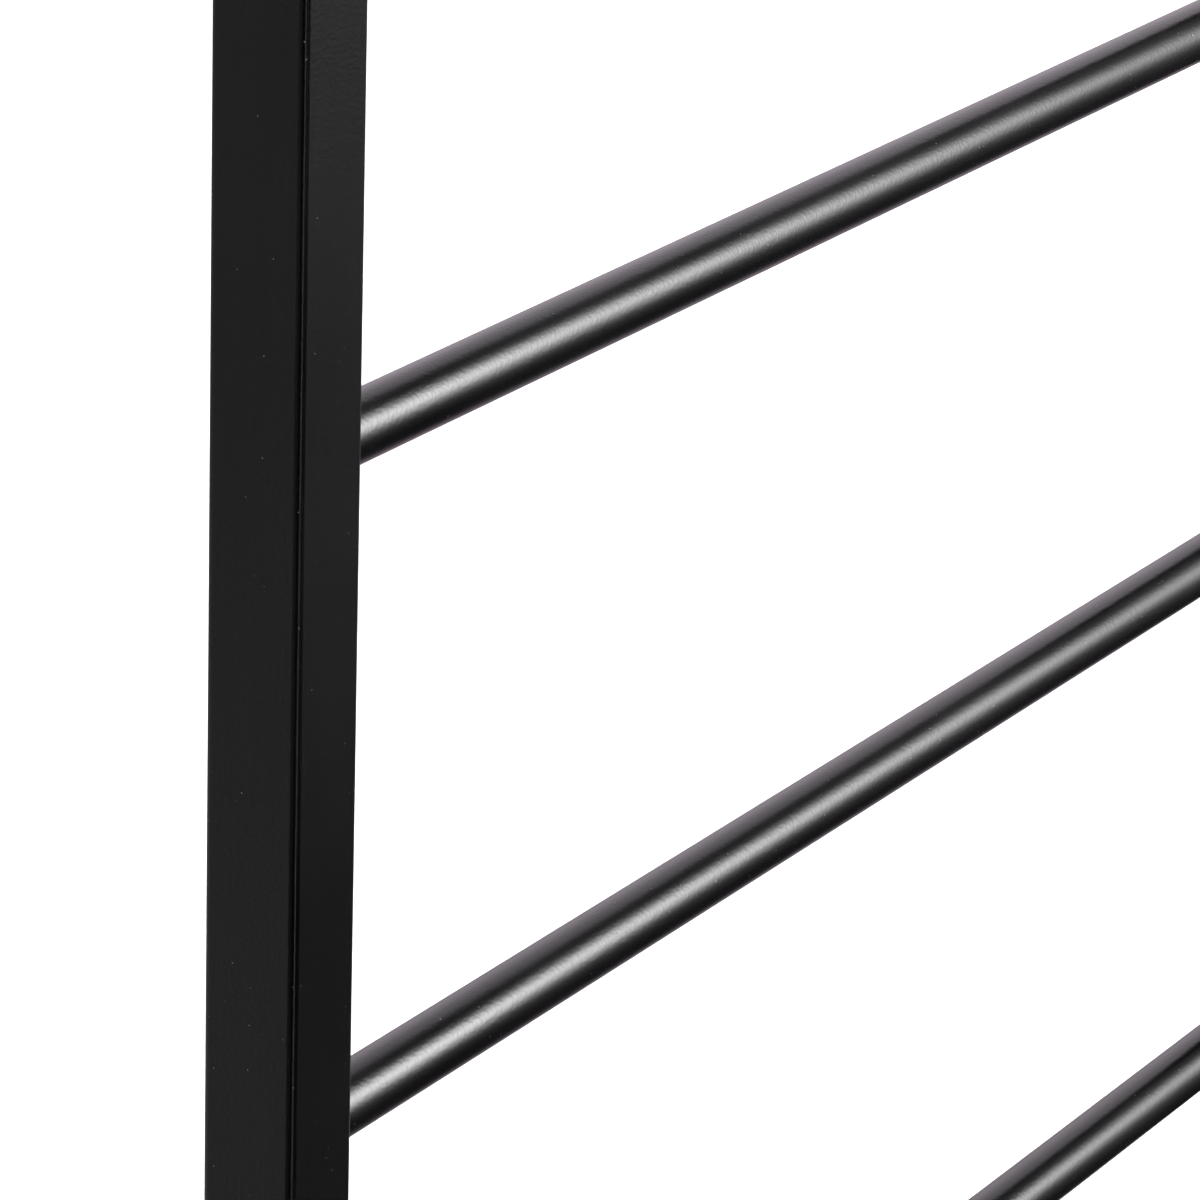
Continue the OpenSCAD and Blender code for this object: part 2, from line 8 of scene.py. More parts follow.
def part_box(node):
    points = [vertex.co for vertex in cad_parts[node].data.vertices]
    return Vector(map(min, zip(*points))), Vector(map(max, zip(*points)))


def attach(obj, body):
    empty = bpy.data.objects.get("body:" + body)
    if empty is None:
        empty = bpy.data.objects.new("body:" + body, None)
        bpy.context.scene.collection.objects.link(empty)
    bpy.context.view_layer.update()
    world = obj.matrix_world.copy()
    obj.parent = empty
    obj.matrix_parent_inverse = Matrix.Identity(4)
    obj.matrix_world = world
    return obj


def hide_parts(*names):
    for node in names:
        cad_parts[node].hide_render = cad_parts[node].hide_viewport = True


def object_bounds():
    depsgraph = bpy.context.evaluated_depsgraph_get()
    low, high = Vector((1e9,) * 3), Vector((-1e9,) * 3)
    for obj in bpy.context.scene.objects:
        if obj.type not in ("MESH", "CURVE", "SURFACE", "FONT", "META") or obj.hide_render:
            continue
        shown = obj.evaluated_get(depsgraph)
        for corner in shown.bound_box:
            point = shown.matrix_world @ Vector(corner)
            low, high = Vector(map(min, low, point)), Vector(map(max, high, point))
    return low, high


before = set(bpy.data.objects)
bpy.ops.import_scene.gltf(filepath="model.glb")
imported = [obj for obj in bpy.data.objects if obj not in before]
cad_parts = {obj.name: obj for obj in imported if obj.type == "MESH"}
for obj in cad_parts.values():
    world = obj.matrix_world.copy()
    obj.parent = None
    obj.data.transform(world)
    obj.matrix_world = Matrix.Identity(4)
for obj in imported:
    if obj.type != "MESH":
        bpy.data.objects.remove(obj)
cadLow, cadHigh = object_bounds()
barNodes = sorted(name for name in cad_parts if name.startswith("bar_"))
mm = 0.001
touch = 0.01 * mm    # slack when edges are picked by their place
beyond = 1 * mm      # how far a cutter reaches past what it cuts
print("frame loaded:", len(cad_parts), "nodes")


# Selecting, and going in and out of edit mode

def nothingSelected():
    active = bpy.context.view_layer.objects.active
    if active is not None and active.mode != "OBJECT":
        bpy.ops.object.mode_set(mode="OBJECT")
    bpy.ops.object.select_all(action="DESELECT")


def onlySelected(piece):
    nothingSelected()
    piece.select_set(True)
    bpy.context.view_layer.objects.active = piece


def startEdit(piece):
    onlySelected(piece)
    bpy.ops.object.mode_set(mode="EDIT")


def endEdit():
    bpy.ops.object.mode_set(mode="OBJECT")


def pickFaces(piece, test):
    # test gets a face's middle and its normal
    bpy.ops.mesh.select_mode(type="FACE")
    bpy.ops.mesh.select_all(action="DESELECT")
    shape = bmesh.from_edit_mesh(piece.data)
    for face in shape.faces:
        face.select_set(bool(test(face.calc_center_median(), face.normal)))
    bmesh.update_edit_mesh(piece.data)


def pickEdges(piece, test):
    # test gets an edge's middle and its direction
    bpy.ops.mesh.select_mode(type="EDGE")
    bpy.ops.mesh.select_all(action="DESELECT")
    shape = bmesh.from_edit_mesh(piece.data)
    for edge in shape.edges:
        a, b = edge.verts[0].co, edge.verts[1].co
        edge.select_set(bool(test((a + b) / 2, (b - a).normalized())))
    bmesh.update_edit_mesh(piece.data)


def bevelEdges(piece, test, width, segments):
    pickEdges(piece, test)
    bpy.ops.mesh.bevel(offset=width, segments=segments, affect="EDGES")


# Starting shapes

def rename(piece, name):
    piece.name = name
    piece.data.name = name
    return piece


def settled(name):
    # the primitive just added gets its name, and its place goes into its mesh
    piece = rename(bpy.context.object, name)
    bpy.ops.object.transform_apply(location=True, rotation=True, scale=True)
    piece.rotation_mode = "XYZ"
    return piece


def block(name, low, high):
    nothingSelected()
    low, high = Vector(low), Vector(high)
    bpy.ops.mesh.primitive_cube_add(size=1, location=(low + high) / 2)
    bpy.context.object.scale = high - low
    return settled(name)


def rod(name, start, end, radius, sides=64):
    nothingSelected()
    start, end = Vector(start), Vector(end)
    bpy.ops.mesh.primitive_cylinder_add(
        vertices=sides, radius=radius, depth=(end - start).length, location=(start + end) / 2)
    bpy.context.object.rotation_mode = "QUATERNION"
    bpy.context.object.rotation_quaternion = (end - start).to_track_quat("Z", "Y")
    return settled(name)


def drawOut(size, height, steps):
    # extrudes what is selected along +Z and scales it about the axis, to each (size, height)
    for nextSize, nextHeight in steps:
        bpy.ops.mesh.extrude_region_move(
            TRANSFORM_OT_translate={"value": (0, 0, nextHeight - height)})
        growth = nextSize / size
        bpy.ops.transform.resize(
            value=(growth, growth, 1), center_override=(0, 0, nextHeight))
        size, height = nextSize, nextHeight


def closeUp():
    # joins what meets and turns every face outwards
    bpy.ops.mesh.select_all(action="SELECT")
    bpy.ops.mesh.remove_doubles(threshold=0.001 * mm)
    bpy.ops.mesh.normals_make_consistent(inside=False)
    endEdit()


def turned(name, steps, sides=64, ring=False):
    # a round piece drawn out along +Z through (radius, height) steps;
    # a ring has no end faces, and its last step meets its first
    nothingSelected()
    radius, height = steps[0]
    bpy.ops.mesh.primitive_circle_add(
        vertices=sides, radius=radius, location=(0, 0, height),
        fill_type="NOTHING" if ring else "NGON")
    piece = settled(name)
    bpy.ops.object.mode_set(mode="EDIT")
    bpy.ops.mesh.select_mode(type="EDGE" if ring else "FACE")
    bpy.ops.mesh.select_all(action="SELECT")
    drawOut(radius, height, steps[1:])
    closeUp()
    return piece


def arc(middle, radius, fromDegrees, toDegrees, steps):
    # points of a round stretch in a turned profile, as (radius, height)
    found = []
    for k in range(steps + 1):
        angle = math.radians(fromDegrees + (toDegrees - fromDegrees) * k / steps)
        found.append((middle[0] + radius * math.cos(angle), middle[1] + radius * math.sin(angle)))
    return found


# Moving, copying, joining and cutting

def put(piece, place, turn=(0, 0, 0)):
    onlySelected(piece)
    piece.location = place
    piece.rotation_euler = turn
    bpy.ops.object.transform_apply(location=True, rotation=True, scale=True)
    return piece


def copyOf(piece, name):
    onlySelected(piece)
    bpy.ops.object.duplicate(linked=False)
    return rename(bpy.context.object, name)


def joined(pieces, name):
    nothingSelected()
    for piece in pieces:
        piece.select_set(True)
    bpy.context.view_layer.objects.active = pieces[0]
    bpy.ops.object.join()
    return rename(pieces[0], name)


def modify(piece, kind, **settings):
    onlySelected(piece)
    modifier = piece.modifiers.new(kind.lower(), kind)
    for key, value in settings.items():
        setattr(modifier, key, value)
    bpy.ops.object.modifier_apply(modifier=modifier.name)


def combine(piece, other, operation="DIFFERENCE"):
    modify(piece, "BOOLEAN", object=other, operation=operation, solver="EXACT")
    bpy.data.objects.remove(other)


def softEdges(piece, width, segments=3, angle=40):
    modify(piece, "BEVEL", width=width, segments=segments, limit_method="ANGLE",
           angle_limit=math.radians(angle), harden_normals=False)


def finished(piece, finish, node, body="rack", smoothAngle=35, evenNormals=True):
    # shading, material and frame marks of a piece that stands in for a CAD node
    onlySelected(piece)
    bpy.ops.object.shade_smooth_by_angle(angle=math.radians(smoothAngle))
    if evenNormals:
        modify(piece, "WEIGHTED_NORMAL", keep_sharp=True, weight=80)
    piece.data.materials.clear()
    piece.data.materials.append(finishes[finish])
    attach(piece, body)
    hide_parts(node)


def boxOf(node):
    low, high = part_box(node)
    return low, high, (low + high) / 2


def middleOf(node):
    return boxOf(node)[2]


# Shader groups that several materials share

def newGroup(name, inputs, outputs):
    group = bpy.data.node_groups.new(name, "ShaderNodeTree")
    for label, value in inputs:
        socket = group.interface.new_socket(
            name=label, in_out="INPUT", socket_type="NodeSocketFloat")
        socket.default_value = value
    for label in outputs:
        group.interface.new_socket(name=label, in_out="OUTPUT", socket_type="NodeSocketFloat")
    return group, group.nodes.new("NodeGroupInput"), group.nodes.new("NodeGroupOutput")


def addNode(tree, kind, **settings):
    node = tree.nodes.new(kind)
    for key, value in settings.items():
        setattr(node, key, value)
    return node


def link(tree, start, end):
    tree.links.new(start, end)


def maths(tree, operation, a, b=None, clamp=False):
    # a and b are sockets or plain numbers
    node = addNode(tree, "ShaderNodeMath", operation=operation, use_clamp=clamp)
    for socket, value in zip(node.inputs, (a, b)):
        if isinstance(value, (int, float)):
            socket.default_value = value
        elif value is not None:
            link(tree, value, socket)
    return node.outputs[0]


def stretchedNoise(tree, scale, detail, stretch=(1, 1, 1)):
    place = addNode(tree, "ShaderNodeTexCoord")
    mapping = addNode(tree, "ShaderNodeMapping")
    mapping.inputs["Scale"].default_value = stretch
    noise = addNode(tree, "ShaderNodeTexNoise")
    noise.inputs["Detail"].default_value = detail
    link(tree, place.outputs["Object"], mapping.inputs["Vector"])
    link(tree, mapping.outputs[0], noise.inputs["Vector"])
    if isinstance(scale, (int, float)):
        noise.inputs["Scale"].default_value = scale
    else:
        link(tree, scale, noise.inputs["Scale"])
    return noise.outputs["Fac"]


def buildSurfaceGrain():
    # fine grain over a broader ripple, and a slow patchiness for colour and gloss
    group, taken, given = newGroup(
        "surfaceGrain",
        [("Grain per metre", 4000.0), ("Ripple per metre", 500.0), ("Ripple share", 0.6),
         ("Patches per metre", 18.0)],
        ["Height", "Patch"])
    grain = stretchedNoise(group, taken.outputs["Grain per metre"], 2)
    ripple = stretchedNoise(group, taken.outputs["Ripple per metre"], 1)
    patch = stretchedNoise(group, taken.outputs["Patches per metre"], 3)
    share = taken.outputs["Ripple share"]
    broad = maths(group, "MULTIPLY", ripple, share)
    fine = maths(group, "MULTIPLY", grain, maths(group, "SUBTRACT", 1.0, share))
    link(group, maths(group, "ADD", broad, fine), given.inputs["Height"])
    link(group, patch, given.inputs["Patch"])
    return group


def buildDustSpecks():
    # a few of the cells hold one tiny speck each
    group, taken, given = newGroup(
        "dustSpecks", [("Cells per metre", 250.0), ("Share", 0.1), ("Size", 0.07)], ["Mask"])
    place = addNode(group, "ShaderNodeTexCoord")
    cells = addNode(group, "ShaderNodeTexVoronoi")
    link(group, place.outputs["Object"], cells.inputs["Vector"])
    link(group, taken.outputs["Cells per metre"], cells.inputs["Scale"])
    colour = addNode(group, "ShaderNodeSeparateColor")
    link(group, cells.outputs["Color"], colour.inputs[0])
    chosen = maths(group, "LESS_THAN", colour.outputs[0], taken.outputs["Share"])
    size = maths(group, "MULTIPLY", taken.outputs["Size"], colour.outputs[1])
    near = maths(group, "DIVIDE", maths(group, "SUBTRACT", size, cells.outputs["Distance"]), size,
                 clamp=True)
    near = maths(group, "MULTIPLY", near, 2.5, clamp=True)
    link(group, maths(group, "MULTIPLY", chosen, near), given.inputs["Mask"])
    return group


def buildLongStreaks():
    # faint streaks along Z, as drawn tube shows through its coat
    group, taken, given = newGroup(
        "longStreaks", [("Streaks per metre", 900.0)], ["Streak"])
    streak = stretchedNoise(group, taken.outputs["Streaks per metre"], 4, stretch=(1, 1, 0.03))
    link(group, streak, given.inputs["Streak"])
    return group


def buildFineScratches():
    # short crossing hairlines in turned or plated metal
    group, taken, given = newGroup(
        "fineScratches", [("Lines per metre", 3000.0)], ["Mask"])
    first = stretchedNoise(group, taken.outputs["Lines per metre"], 2, stretch=(1, 0.06, 0.3))
    second = stretchedNoise(group, taken.outputs["Lines per metre"], 2, stretch=(0.08, 1, 1))
    deeper = maths(group, "MAXIMUM", first, second)
    link(group, maths(group, "POWER", deeper, 3.0), given.inputs["Mask"])
    return group


surfaceGrain = buildSurfaceGrain()
dustSpecks = buildDustSpecks()
longStreaks = buildLongStreaks()
fineScratches = buildFineScratches()


# Materials

def useGroup(tree, group, values):
    node = addNode(tree, "ShaderNodeGroup", node_tree=group)
    for label, value in values.items():
        node.inputs[label].default_value = value
    return node


def spread(tree, value, start, end, low=0.0, high=1.0, kind="LINEAR"):
    # start..end of the value becomes low..high
    node = addNode(tree, "ShaderNodeMapRange", interpolation_type=kind)
    for label, number in (("From Min", start), ("From Max", end), ("To Min", low), ("To Max", high)):
        node.inputs[label].default_value = number
    link(tree, value, node.inputs["Value"])
    return node.outputs["Result"]


def between(tree, noise, low, high):
    # noise seldom leaves 0.3..0.7
    return spread(tree, noise, 0.3, 0.7, low, high)


def mixColour(tree, factor, first, second):
    # first and second are colours or sockets
    node = addNode(tree, "ShaderNodeMix", data_type="RGBA")
    link(tree, factor, node.inputs["Factor"])
    for label, value in (("A", first), ("B", second)):
        socket = [s for s in node.inputs if s.name == label and s.type == "RGBA"][0]
        if isinstance(value, bpy.types.NodeSocket):
            link(tree, value, socket)
        else:
            socket.default_value = (*value, 1)
    return [s for s in node.outputs if s.type == "RGBA"][0]


def newMaterial(name, metal=0.0):
    material = bpy.data.materials.new(name)
    material.use_nodes = True
    shader = material.node_tree.nodes["Principled BSDF"]
    shader.inputs["Metallic"].default_value = metal
    shader.inputs["IOR"].default_value = 1.5
    return material, material.node_tree, shader


def bumpy(tree, shader, height, depth):
    bump = addNode(tree, "ShaderNodeBump")
    bump.inputs["Strength"].default_value = 1.0
    bump.inputs["Distance"].default_value = depth
    link(tree, height, bump.inputs["Height"])
    link(tree, bump.outputs["Normal"], shader.inputs["Normal"])


coatFinish = {
    "deep": (0.0011, 0.0011, 0.0013),
    "worn": (0.0021, 0.0020, 0.0022),
    "dust": (0.16, 0.155, 0.15),
    "rough": (0.175, 0.250),
    "dustRough": 0.3,
    "bumpDepth": 0.055 * mm,
    "grain": {"Grain per metre": 4200, "Ripple per metre": 950, "Ripple share": 0.80,
              "Patches per metre": 14},
    "streaks": {"Streaks per metre": 700},
    "specks": {"Cells per metre": 430, "Share": 0.40, "Size": 0.09},
}


def makePowderCoat():
    look = coatFinish
    material, tree, shader = newMaterial("satinPowderCoat")
    grain = useGroup(tree, surfaceGrain, look["grain"])
    streaks = useGroup(tree, longStreaks, look["streaks"])
    dust = useGroup(tree, dustSpecks, look["specks"])
    patchiness = maths(tree, "MULTIPLY", grain.outputs["Patch"], streaks.outputs["Streak"])
    base = mixColour(tree, between(tree, maths(tree, "MULTIPLY", patchiness, 2.0), 0, 1),
                     look["deep"], look["worn"])
    colour = mixColour(tree, dust.outputs["Mask"], base, look["dust"])
    link(tree, colour, shader.inputs["Base Color"])
    gloss = between(tree, grain.outputs["Patch"], *look["rough"])
    rough = maths(tree, "ADD", gloss, maths(tree, "MULTIPLY", dust.outputs["Mask"], look["dustRough"]))
    link(tree, rough, shader.inputs["Roughness"])
    bumpy(tree, shader, grain.outputs["Height"], look["bumpDepth"])
    return material


plainFinishes = {
    "mouldedPlastic": {
        "deep": (0.0075, 0.0075, 0.0078), "worn": (0.013, 0.013, 0.0132),
        "rough": (0.46, 0.56), "grain": 2600, "ripple": 1100, "depth": 0.045 * mm},
    "switchPlastic": {
        "deep": (0.006, 0.006, 0.0062), "worn": (0.010, 0.010, 0.0102),
        "rough": (0.24, 0.31), "grain": 6000, "ripple": 900, "depth": 0.010 * mm},
    "padRubber": {
        "deep": (0.013, 0.013, 0.013), "worn": (0.026, 0.0255, 0.025),
        "rough": (0.66, 0.80), "grain": 2200, "ripple": 700, "depth": 0.06 * mm},
    "zincPlate": {
        "deep": (0.55, 0.56, 0.58), "worn": (0.68, 0.68, 0.67), "metal": 1.0,
        "rough": (0.24, 0.36), "grain": 5000, "ripple": 900, "depth": 0.008 * mm, "scratch": 0.22},
    "brassStrip": {
        "deep": (0.68, 0.49, 0.20), "worn": (0.80, 0.63, 0.31), "metal": 1.0,
        "rough": (0.22, 0.34), "grain": 5000, "ripple": 800, "depth": 0.006 * mm, "scratch": 0.20},
    "creamSilicone": {
        "deep": (0.60, 0.56, 0.48), "worn": (0.74, 0.71, 0.64),
        "rough": (0.42, 0.54), "grain": 3000, "ripple": 600, "depth": 0.02 * mm},
    "brownInsulation": {
        "deep": (0.15, 0.065, 0.028), "worn": (0.24, 0.11, 0.05),
        "rough": (0.38, 0.48), "grain": 3500, "ripple": 800, "depth": 0.015 * mm},
    "markPrint": {
        "deep": (0.60, 0.60, 0.58), "worn": (0.74, 0.74, 0.72),
        "rough": (0.42, 0.52), "grain": 7000, "ripple": 1600, "depth": 0.008 * mm},
}


plainTexture = {
    "rippleShare": 0.5,
    "patches": 60,
    "scratches": {"Lines per metre": 2600},
    "specks": {"Cells per metre": 420, "Share": 0.10, "Size": 0.06},
    "dustRough": 0.2,
}


def makeFinish(name):
    look = plainFinishes[name]
    material, tree, shader = newMaterial(name, metal=look.get("metal", 0.0))
    grain = useGroup(tree, surfaceGrain, {
        "Grain per metre": look["grain"], "Ripple per metre": look["ripple"],
        "Ripple share": plainTexture["rippleShare"], "Patches per metre": plainTexture["patches"]})
    colour = mixColour(tree, between(tree, grain.outputs["Patch"], 0, 1), look["deep"], look["worn"])
    gloss = between(tree, grain.outputs["Patch"], *look["rough"])
    if "scratch" in look:
        marks, amount = useGroup(tree, fineScratches, plainTexture["scratches"]), look["scratch"]
    else:
        marks, amount = useGroup(tree, dustSpecks, plainTexture["specks"]), plainTexture["dustRough"]
    rough = maths(tree, "ADD", gloss, maths(tree, "MULTIPLY", marks.outputs["Mask"], amount))
    link(tree, colour, shader.inputs["Base Color"])
    link(tree, rough, shader.inputs["Roughness"])
    bumpy(tree, shader, grain.outputs["Height"], look["depth"])
    return material


finishes = {"powderCoat": makePowderCoat()}
for name in plainFinishes:
    finishes[name] = makeFinish(name)
print("materials made")


# Uprights: square tube with rounded long edges, drilled for bars and fixings

tubeShape = {
    "wall": 1.5 * mm,
    "edgeRadius": 2.0 * mm,
    "edgeSegments": 6,
    "holeGap": 0.1 * mm,
    "screwGap": 0.3 * mm,
    "glandGap": 0.15 * mm,
    "cutDepth": 3 * mm,
    "switchOpening": (13 * mm, 19 * mm),
}


def squareTube(name, low, high, along):
    tube = block(name, low, high)
    startEdit(tube)
    bevelEdges(tube, lambda place, way: abs(way[along]) > 0.9,
               tubeShape["edgeRadius"], tubeShape["edgeSegments"])
    pickFaces(tube, lambda place, normal: abs(normal[along]) > 0.9)
    bpy.ops.mesh.delete(type="FACE")
    endEdit()
    modify(tube, "SOLIDIFY", thickness=tubeShape["wall"], offset=-1, use_even_offset=True)
    return tube


def makeUpright(side):
    node = side + "_upright"
    low, high, middle = boxOf(node)
    tube = squareTube(node + "_tube", low, high, 2)
    inward = 1 if side == "left" else -1
    faceX = middle.x + inward * (high.x - low.x) / 2
    depth, gap = tubeShape["cutDepth"], tubeShape["holeGap"]
    for bar in barNodes:
        barLow, barHigh, place = boxOf(bar)
        combine(tube, rod("cutter", (faceX - inward * depth, place.y, place.z),
                          (faceX + inward * beyond, place.y, place.z),
                          (barHigh.z - barLow.z) / 2 + gap, barShape["sides"]))
    inserts = boxOf("wall_mount_inserts")
    flange = insertShape["flangeRadius"]
    rearHoles = [(middleOf("foot_screws").z, screwShape["threadRadius"] + tubeShape["screwGap"]),
                 (inserts[0].z + flange, insertShape["bodyRadius"] + gap),
                 (inserts[1].z - flange, insertShape["bodyRadius"] + gap)]
    if side == "right":
        rearHoles += [(middleOf("gland_body").z, glandShape["threadRadius"] + tubeShape["glandGap"]),
                      (middleOf("earth_screw").z, earthShape["threadRadius"] + tubeShape["screwGap"])]
        housing = middleOf("switch_housing")
        halfX, halfZ = tubeShape["switchOpening"][0] / 2, tubeShape["switchOpening"][1] / 2
        combine(tube, block("cutter", (housing.x - halfX, low.y - beyond, housing.z - halfZ),
                            (housing.x + halfX, low.y + depth, housing.z + halfZ)))
    for level, radius in rearHoles:
        combine(tube, rod("cutter", (middle.x, high.y - depth, level),
                          (middle.x, high.y + beyond, level), radius))
    finished(tube, "powderCoat", node)


# Bars: thin round tube with a small painted weld fillet where it meets each upright

barShape = {
    "wall": 1.2 * mm,
    "filletSize": 0.9 * mm,
    "filletSteps": 6,
    "sides": 96,
}


def makeBar(node):
    low, high, middle = boxOf(node)
    radius = (high.z - low.z) / 2
    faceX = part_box("left_upright")[1].x
    size = barShape["filletSize"]
    fillet = arc((radius + size, faceX + size), size, 180 + 90, 180, barShape["filletSteps"])
    # a ring close beside the fillet keeps the long stretch's shading true
    outline = [(radius, low.x), (radius, faceX)] + fillet + [(radius, faceX + 2 * size)]
    mirrored = [(r, low.x + high.x - x) for r, x in reversed(outline)]
    tube = turned(node + "_tube", outline + mirrored, barShape["sides"], ring=True)
    modify(tube, "SOLIDIFY", thickness=barShape["wall"], offset=-1, use_even_offset=True)
    put(tube, (0, middle.y, middle.z), (0, math.radians(90), 0))
    finished(tube, "powderCoat", node, evenNormals=False)


# Feet: the same tube laid along Y, open for the necks of its pads

footShape = {"padHoleRadius": 4.0 * mm}


def makeFootTube(side):
    node = side + "_foot_tube"
    low, high, middle = boxOf(node)
    tube = squareTube(node + "_shell", low, high, 1)
    for end in ("front", "rear"):
        pad = middleOf("%s_foot_%s_pad" % (side, end))
        combine(tube, rod("cutter", (middle.x, pad.y, low.z - beyond),
                          (middle.x, pad.y, low.z + tubeShape["cutDepth"]), footShape["padHoleRadius"]))
    finished(tube, "powderCoat", node)


# End caps: a softly crowned head on a hollow plug with three gripping fins

capShape = {
    "rim": 2.5 * mm,
    "rimRound": 0.7 * mm,
    "seamChamfer": 0.25 * mm,
    "crown": ((9.2 * mm, 2.8 * mm), (6.2 * mm, 2.95 * mm), (3.0 * mm, 3.0 * mm)),
    "finHalf": 10.92 * mm,
    "coreHalf": 10.45 * mm,
    "fins": 3,
    "finSpacing": 3.6 * mm,
    "firstFin": 0.6,
    "finThickness": 0.9 * mm,
    "plugWall": 1.4 * mm,
    "plugDepth": 14 * mm,
    "plugFloor": 0.6 * mm,
    "leadIn": (0.5 * mm, 1 * mm),
}


def makeCap(name):
    low, high, middle = boxOf("left_upright")
    half, top = high.x - middle.x, capShape["rim"]
    cap = block(name, (-half, -half, 0), (half, half, top))
    startEdit(cap)
    bevelEdges(cap, lambda place, way: abs(way.z) > 0.9,
               tubeShape["edgeRadius"], tubeShape["edgeSegments"])
    bevelEdges(cap, lambda place, way: place.z > top - touch, capShape["rimRound"], 4)
    bevelEdges(cap, lambda place, way: place.z < touch, capShape["seamChamfer"], 1)
    # crown, drawn in towards the middle of the head
    pickFaces(cap, lambda place, normal: normal.z > 0.99)
    drawOut(half - capShape["rimRound"], top, capShape["crown"])
    # plug, drawn out downwards with its fins, then hollowed
    pickFaces(cap, lambda place, normal: normal.z < -0.99)
    core, fin = capShape["coreHalf"], capShape["finHalf"]
    steps = [(core, 0)]
    for k in range(capShape["fins"]):
        level = -(k + capShape["firstFin"]) * capShape["finSpacing"]
        steps += [(core, level), (fin, level), (core, level - capShape["finThickness"])]
    end = -capShape["plugDepth"]
    inner = core - capShape["plugWall"]
    leadWidth, leadLength = capShape["leadIn"]
    steps += [(core, end + leadLength), (core - leadWidth, end), (inner, end),
              (inner, -capShape["plugFloor"])]
    drawOut(half - capShape["seamChamfer"], 0, steps)
    closeUp()
    return cap


def placeCaps():
    first = makeCap("cap")
    quarter = math.radians(90)
    for side in ("left", "right"):
        middle = middleOf(side + "_top_cap")
        places = [(side + "_top_cap", (middle.x, middle.y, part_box(side + "_upright")[1].z), 0)]
        low, high, middle = boxOf(side + "_foot_tube")
        places += [(side + "_foot_front_cap", (middle.x, low.y, middle.z), quarter),
                   (side + "_foot_rear_cap", (middle.x, high.y, middle.z), -quarter)]
        for node, place, turn in places:
            cap = copyOf(first, node + "_moulding")
            put(cap, place, (turn, 0, 0))
            finished(cap, "mouldedPlastic", node)
    bpy.data.objects.remove(first)


# Rubber pads: grooved sole, a waist line round the side, a neck and a holding head

padShape = {
    "soleMiddle": 1.2 * mm,
    "soleRings": (3.0 * mm, 5.6 * mm, 8.2 * mm),
    "grooveWidth": 0.7 * mm,
    "grooveDepth": 0.5 * mm,
    "edgeRound": 1.3 * mm,
    "waistHeight": 3.6 * mm,
    "waistDepth": 0.35 * mm,
    "neckRadius": 3.8 * mm,
    "headRadius": 5.0 * mm,
    "headWall": 0.8 * mm,
    "headTaper": 0.9 * mm,
    "height": 6.0 * mm,
    "topChamfer": 0.5 * mm,
    "neckTop": 7.6 * mm,
}


def makePads():
    shape = padShape
    low, high, middle = boxOf("left_foot_front_pad")
    radius, edge = high.x - middle.x, shape["edgeRound"]
    steps = [(shape["soleMiddle"], 0)]
    for ring in shape["soleRings"]:
        groove = ring + shape["grooveWidth"]
        steps += [(ring, 0), (ring, shape["grooveDepth"]), (groove, shape["grooveDepth"]), (groove, 0)]
    steps = [step for step in steps if step[0] < radius - edge]
    steps += arc((radius - edge, edge), edge, -90, 0, 6)
    waist, sink = shape["waistHeight"], shape["waistDepth"]
    steps += [(radius, waist - 2 * sink), (radius - sink, waist - sink),
              (radius - sink, waist + sink), (radius, waist + 2 * sink)]
    top, chamfer = shape["height"], shape["topChamfer"]
    neck, head, neckTop = shape["neckRadius"], shape["headRadius"], shape["neckTop"]
    steps += [(radius, top - chamfer), (radius - chamfer, top), (neck, top), (neck, neckTop),
              (head, neckTop), (head, neckTop + shape["headWall"]), (head - shape["headTaper"], high.z)]
    first = turned("pad", steps, 64)
    for side in ("left", "right"):
        for end in ("front", "rear"):
            node = "%s_foot_%s_pad" % (side, end)
            place = middleOf(node)
            pad = copyOf(first, node + "_moulding")
            put(pad, (place.x, place.y, low.z))
            finished(pad, "padRubber", node)
    bpy.data.objects.remove(first)


# Screws and threaded inserts, all driven in from behind

def threadSteps(crest, root, start, end, pitch):
    # rings of a thread from one height to another
    steps = []
    height = start
    while height + pitch <= end:
        steps += [(crest, height), (root, height + pitch / 2)]
        height += pitch
    return steps + [(crest, height)]


screwShape = {
    "threadRadius": 3.0 * mm,
    "rootRadius": 2.55 * mm,
    "pitch": 1.0 * mm,
    "length": 10 * mm,
    "tipTaper": 0.4 * mm,
    "plainEnd": 0.5 * mm,
    "headRadius": 5.25 * mm,
    "headHeight": 3.3 * mm,
    "headWall": 0.6 * mm,
    "underEdge": 0.15 * mm,
    "flatShare": 0.52,
    "socketAcross": 4.6 * mm,
    "socketDepth": 2.0 * mm,
    "edgeSoftness": 0.08 * mm,
}


def outward(piece, place):
    # a piece made along +Z points backwards from its place
    return put(piece, place, (math.radians(-90), 0, 0))


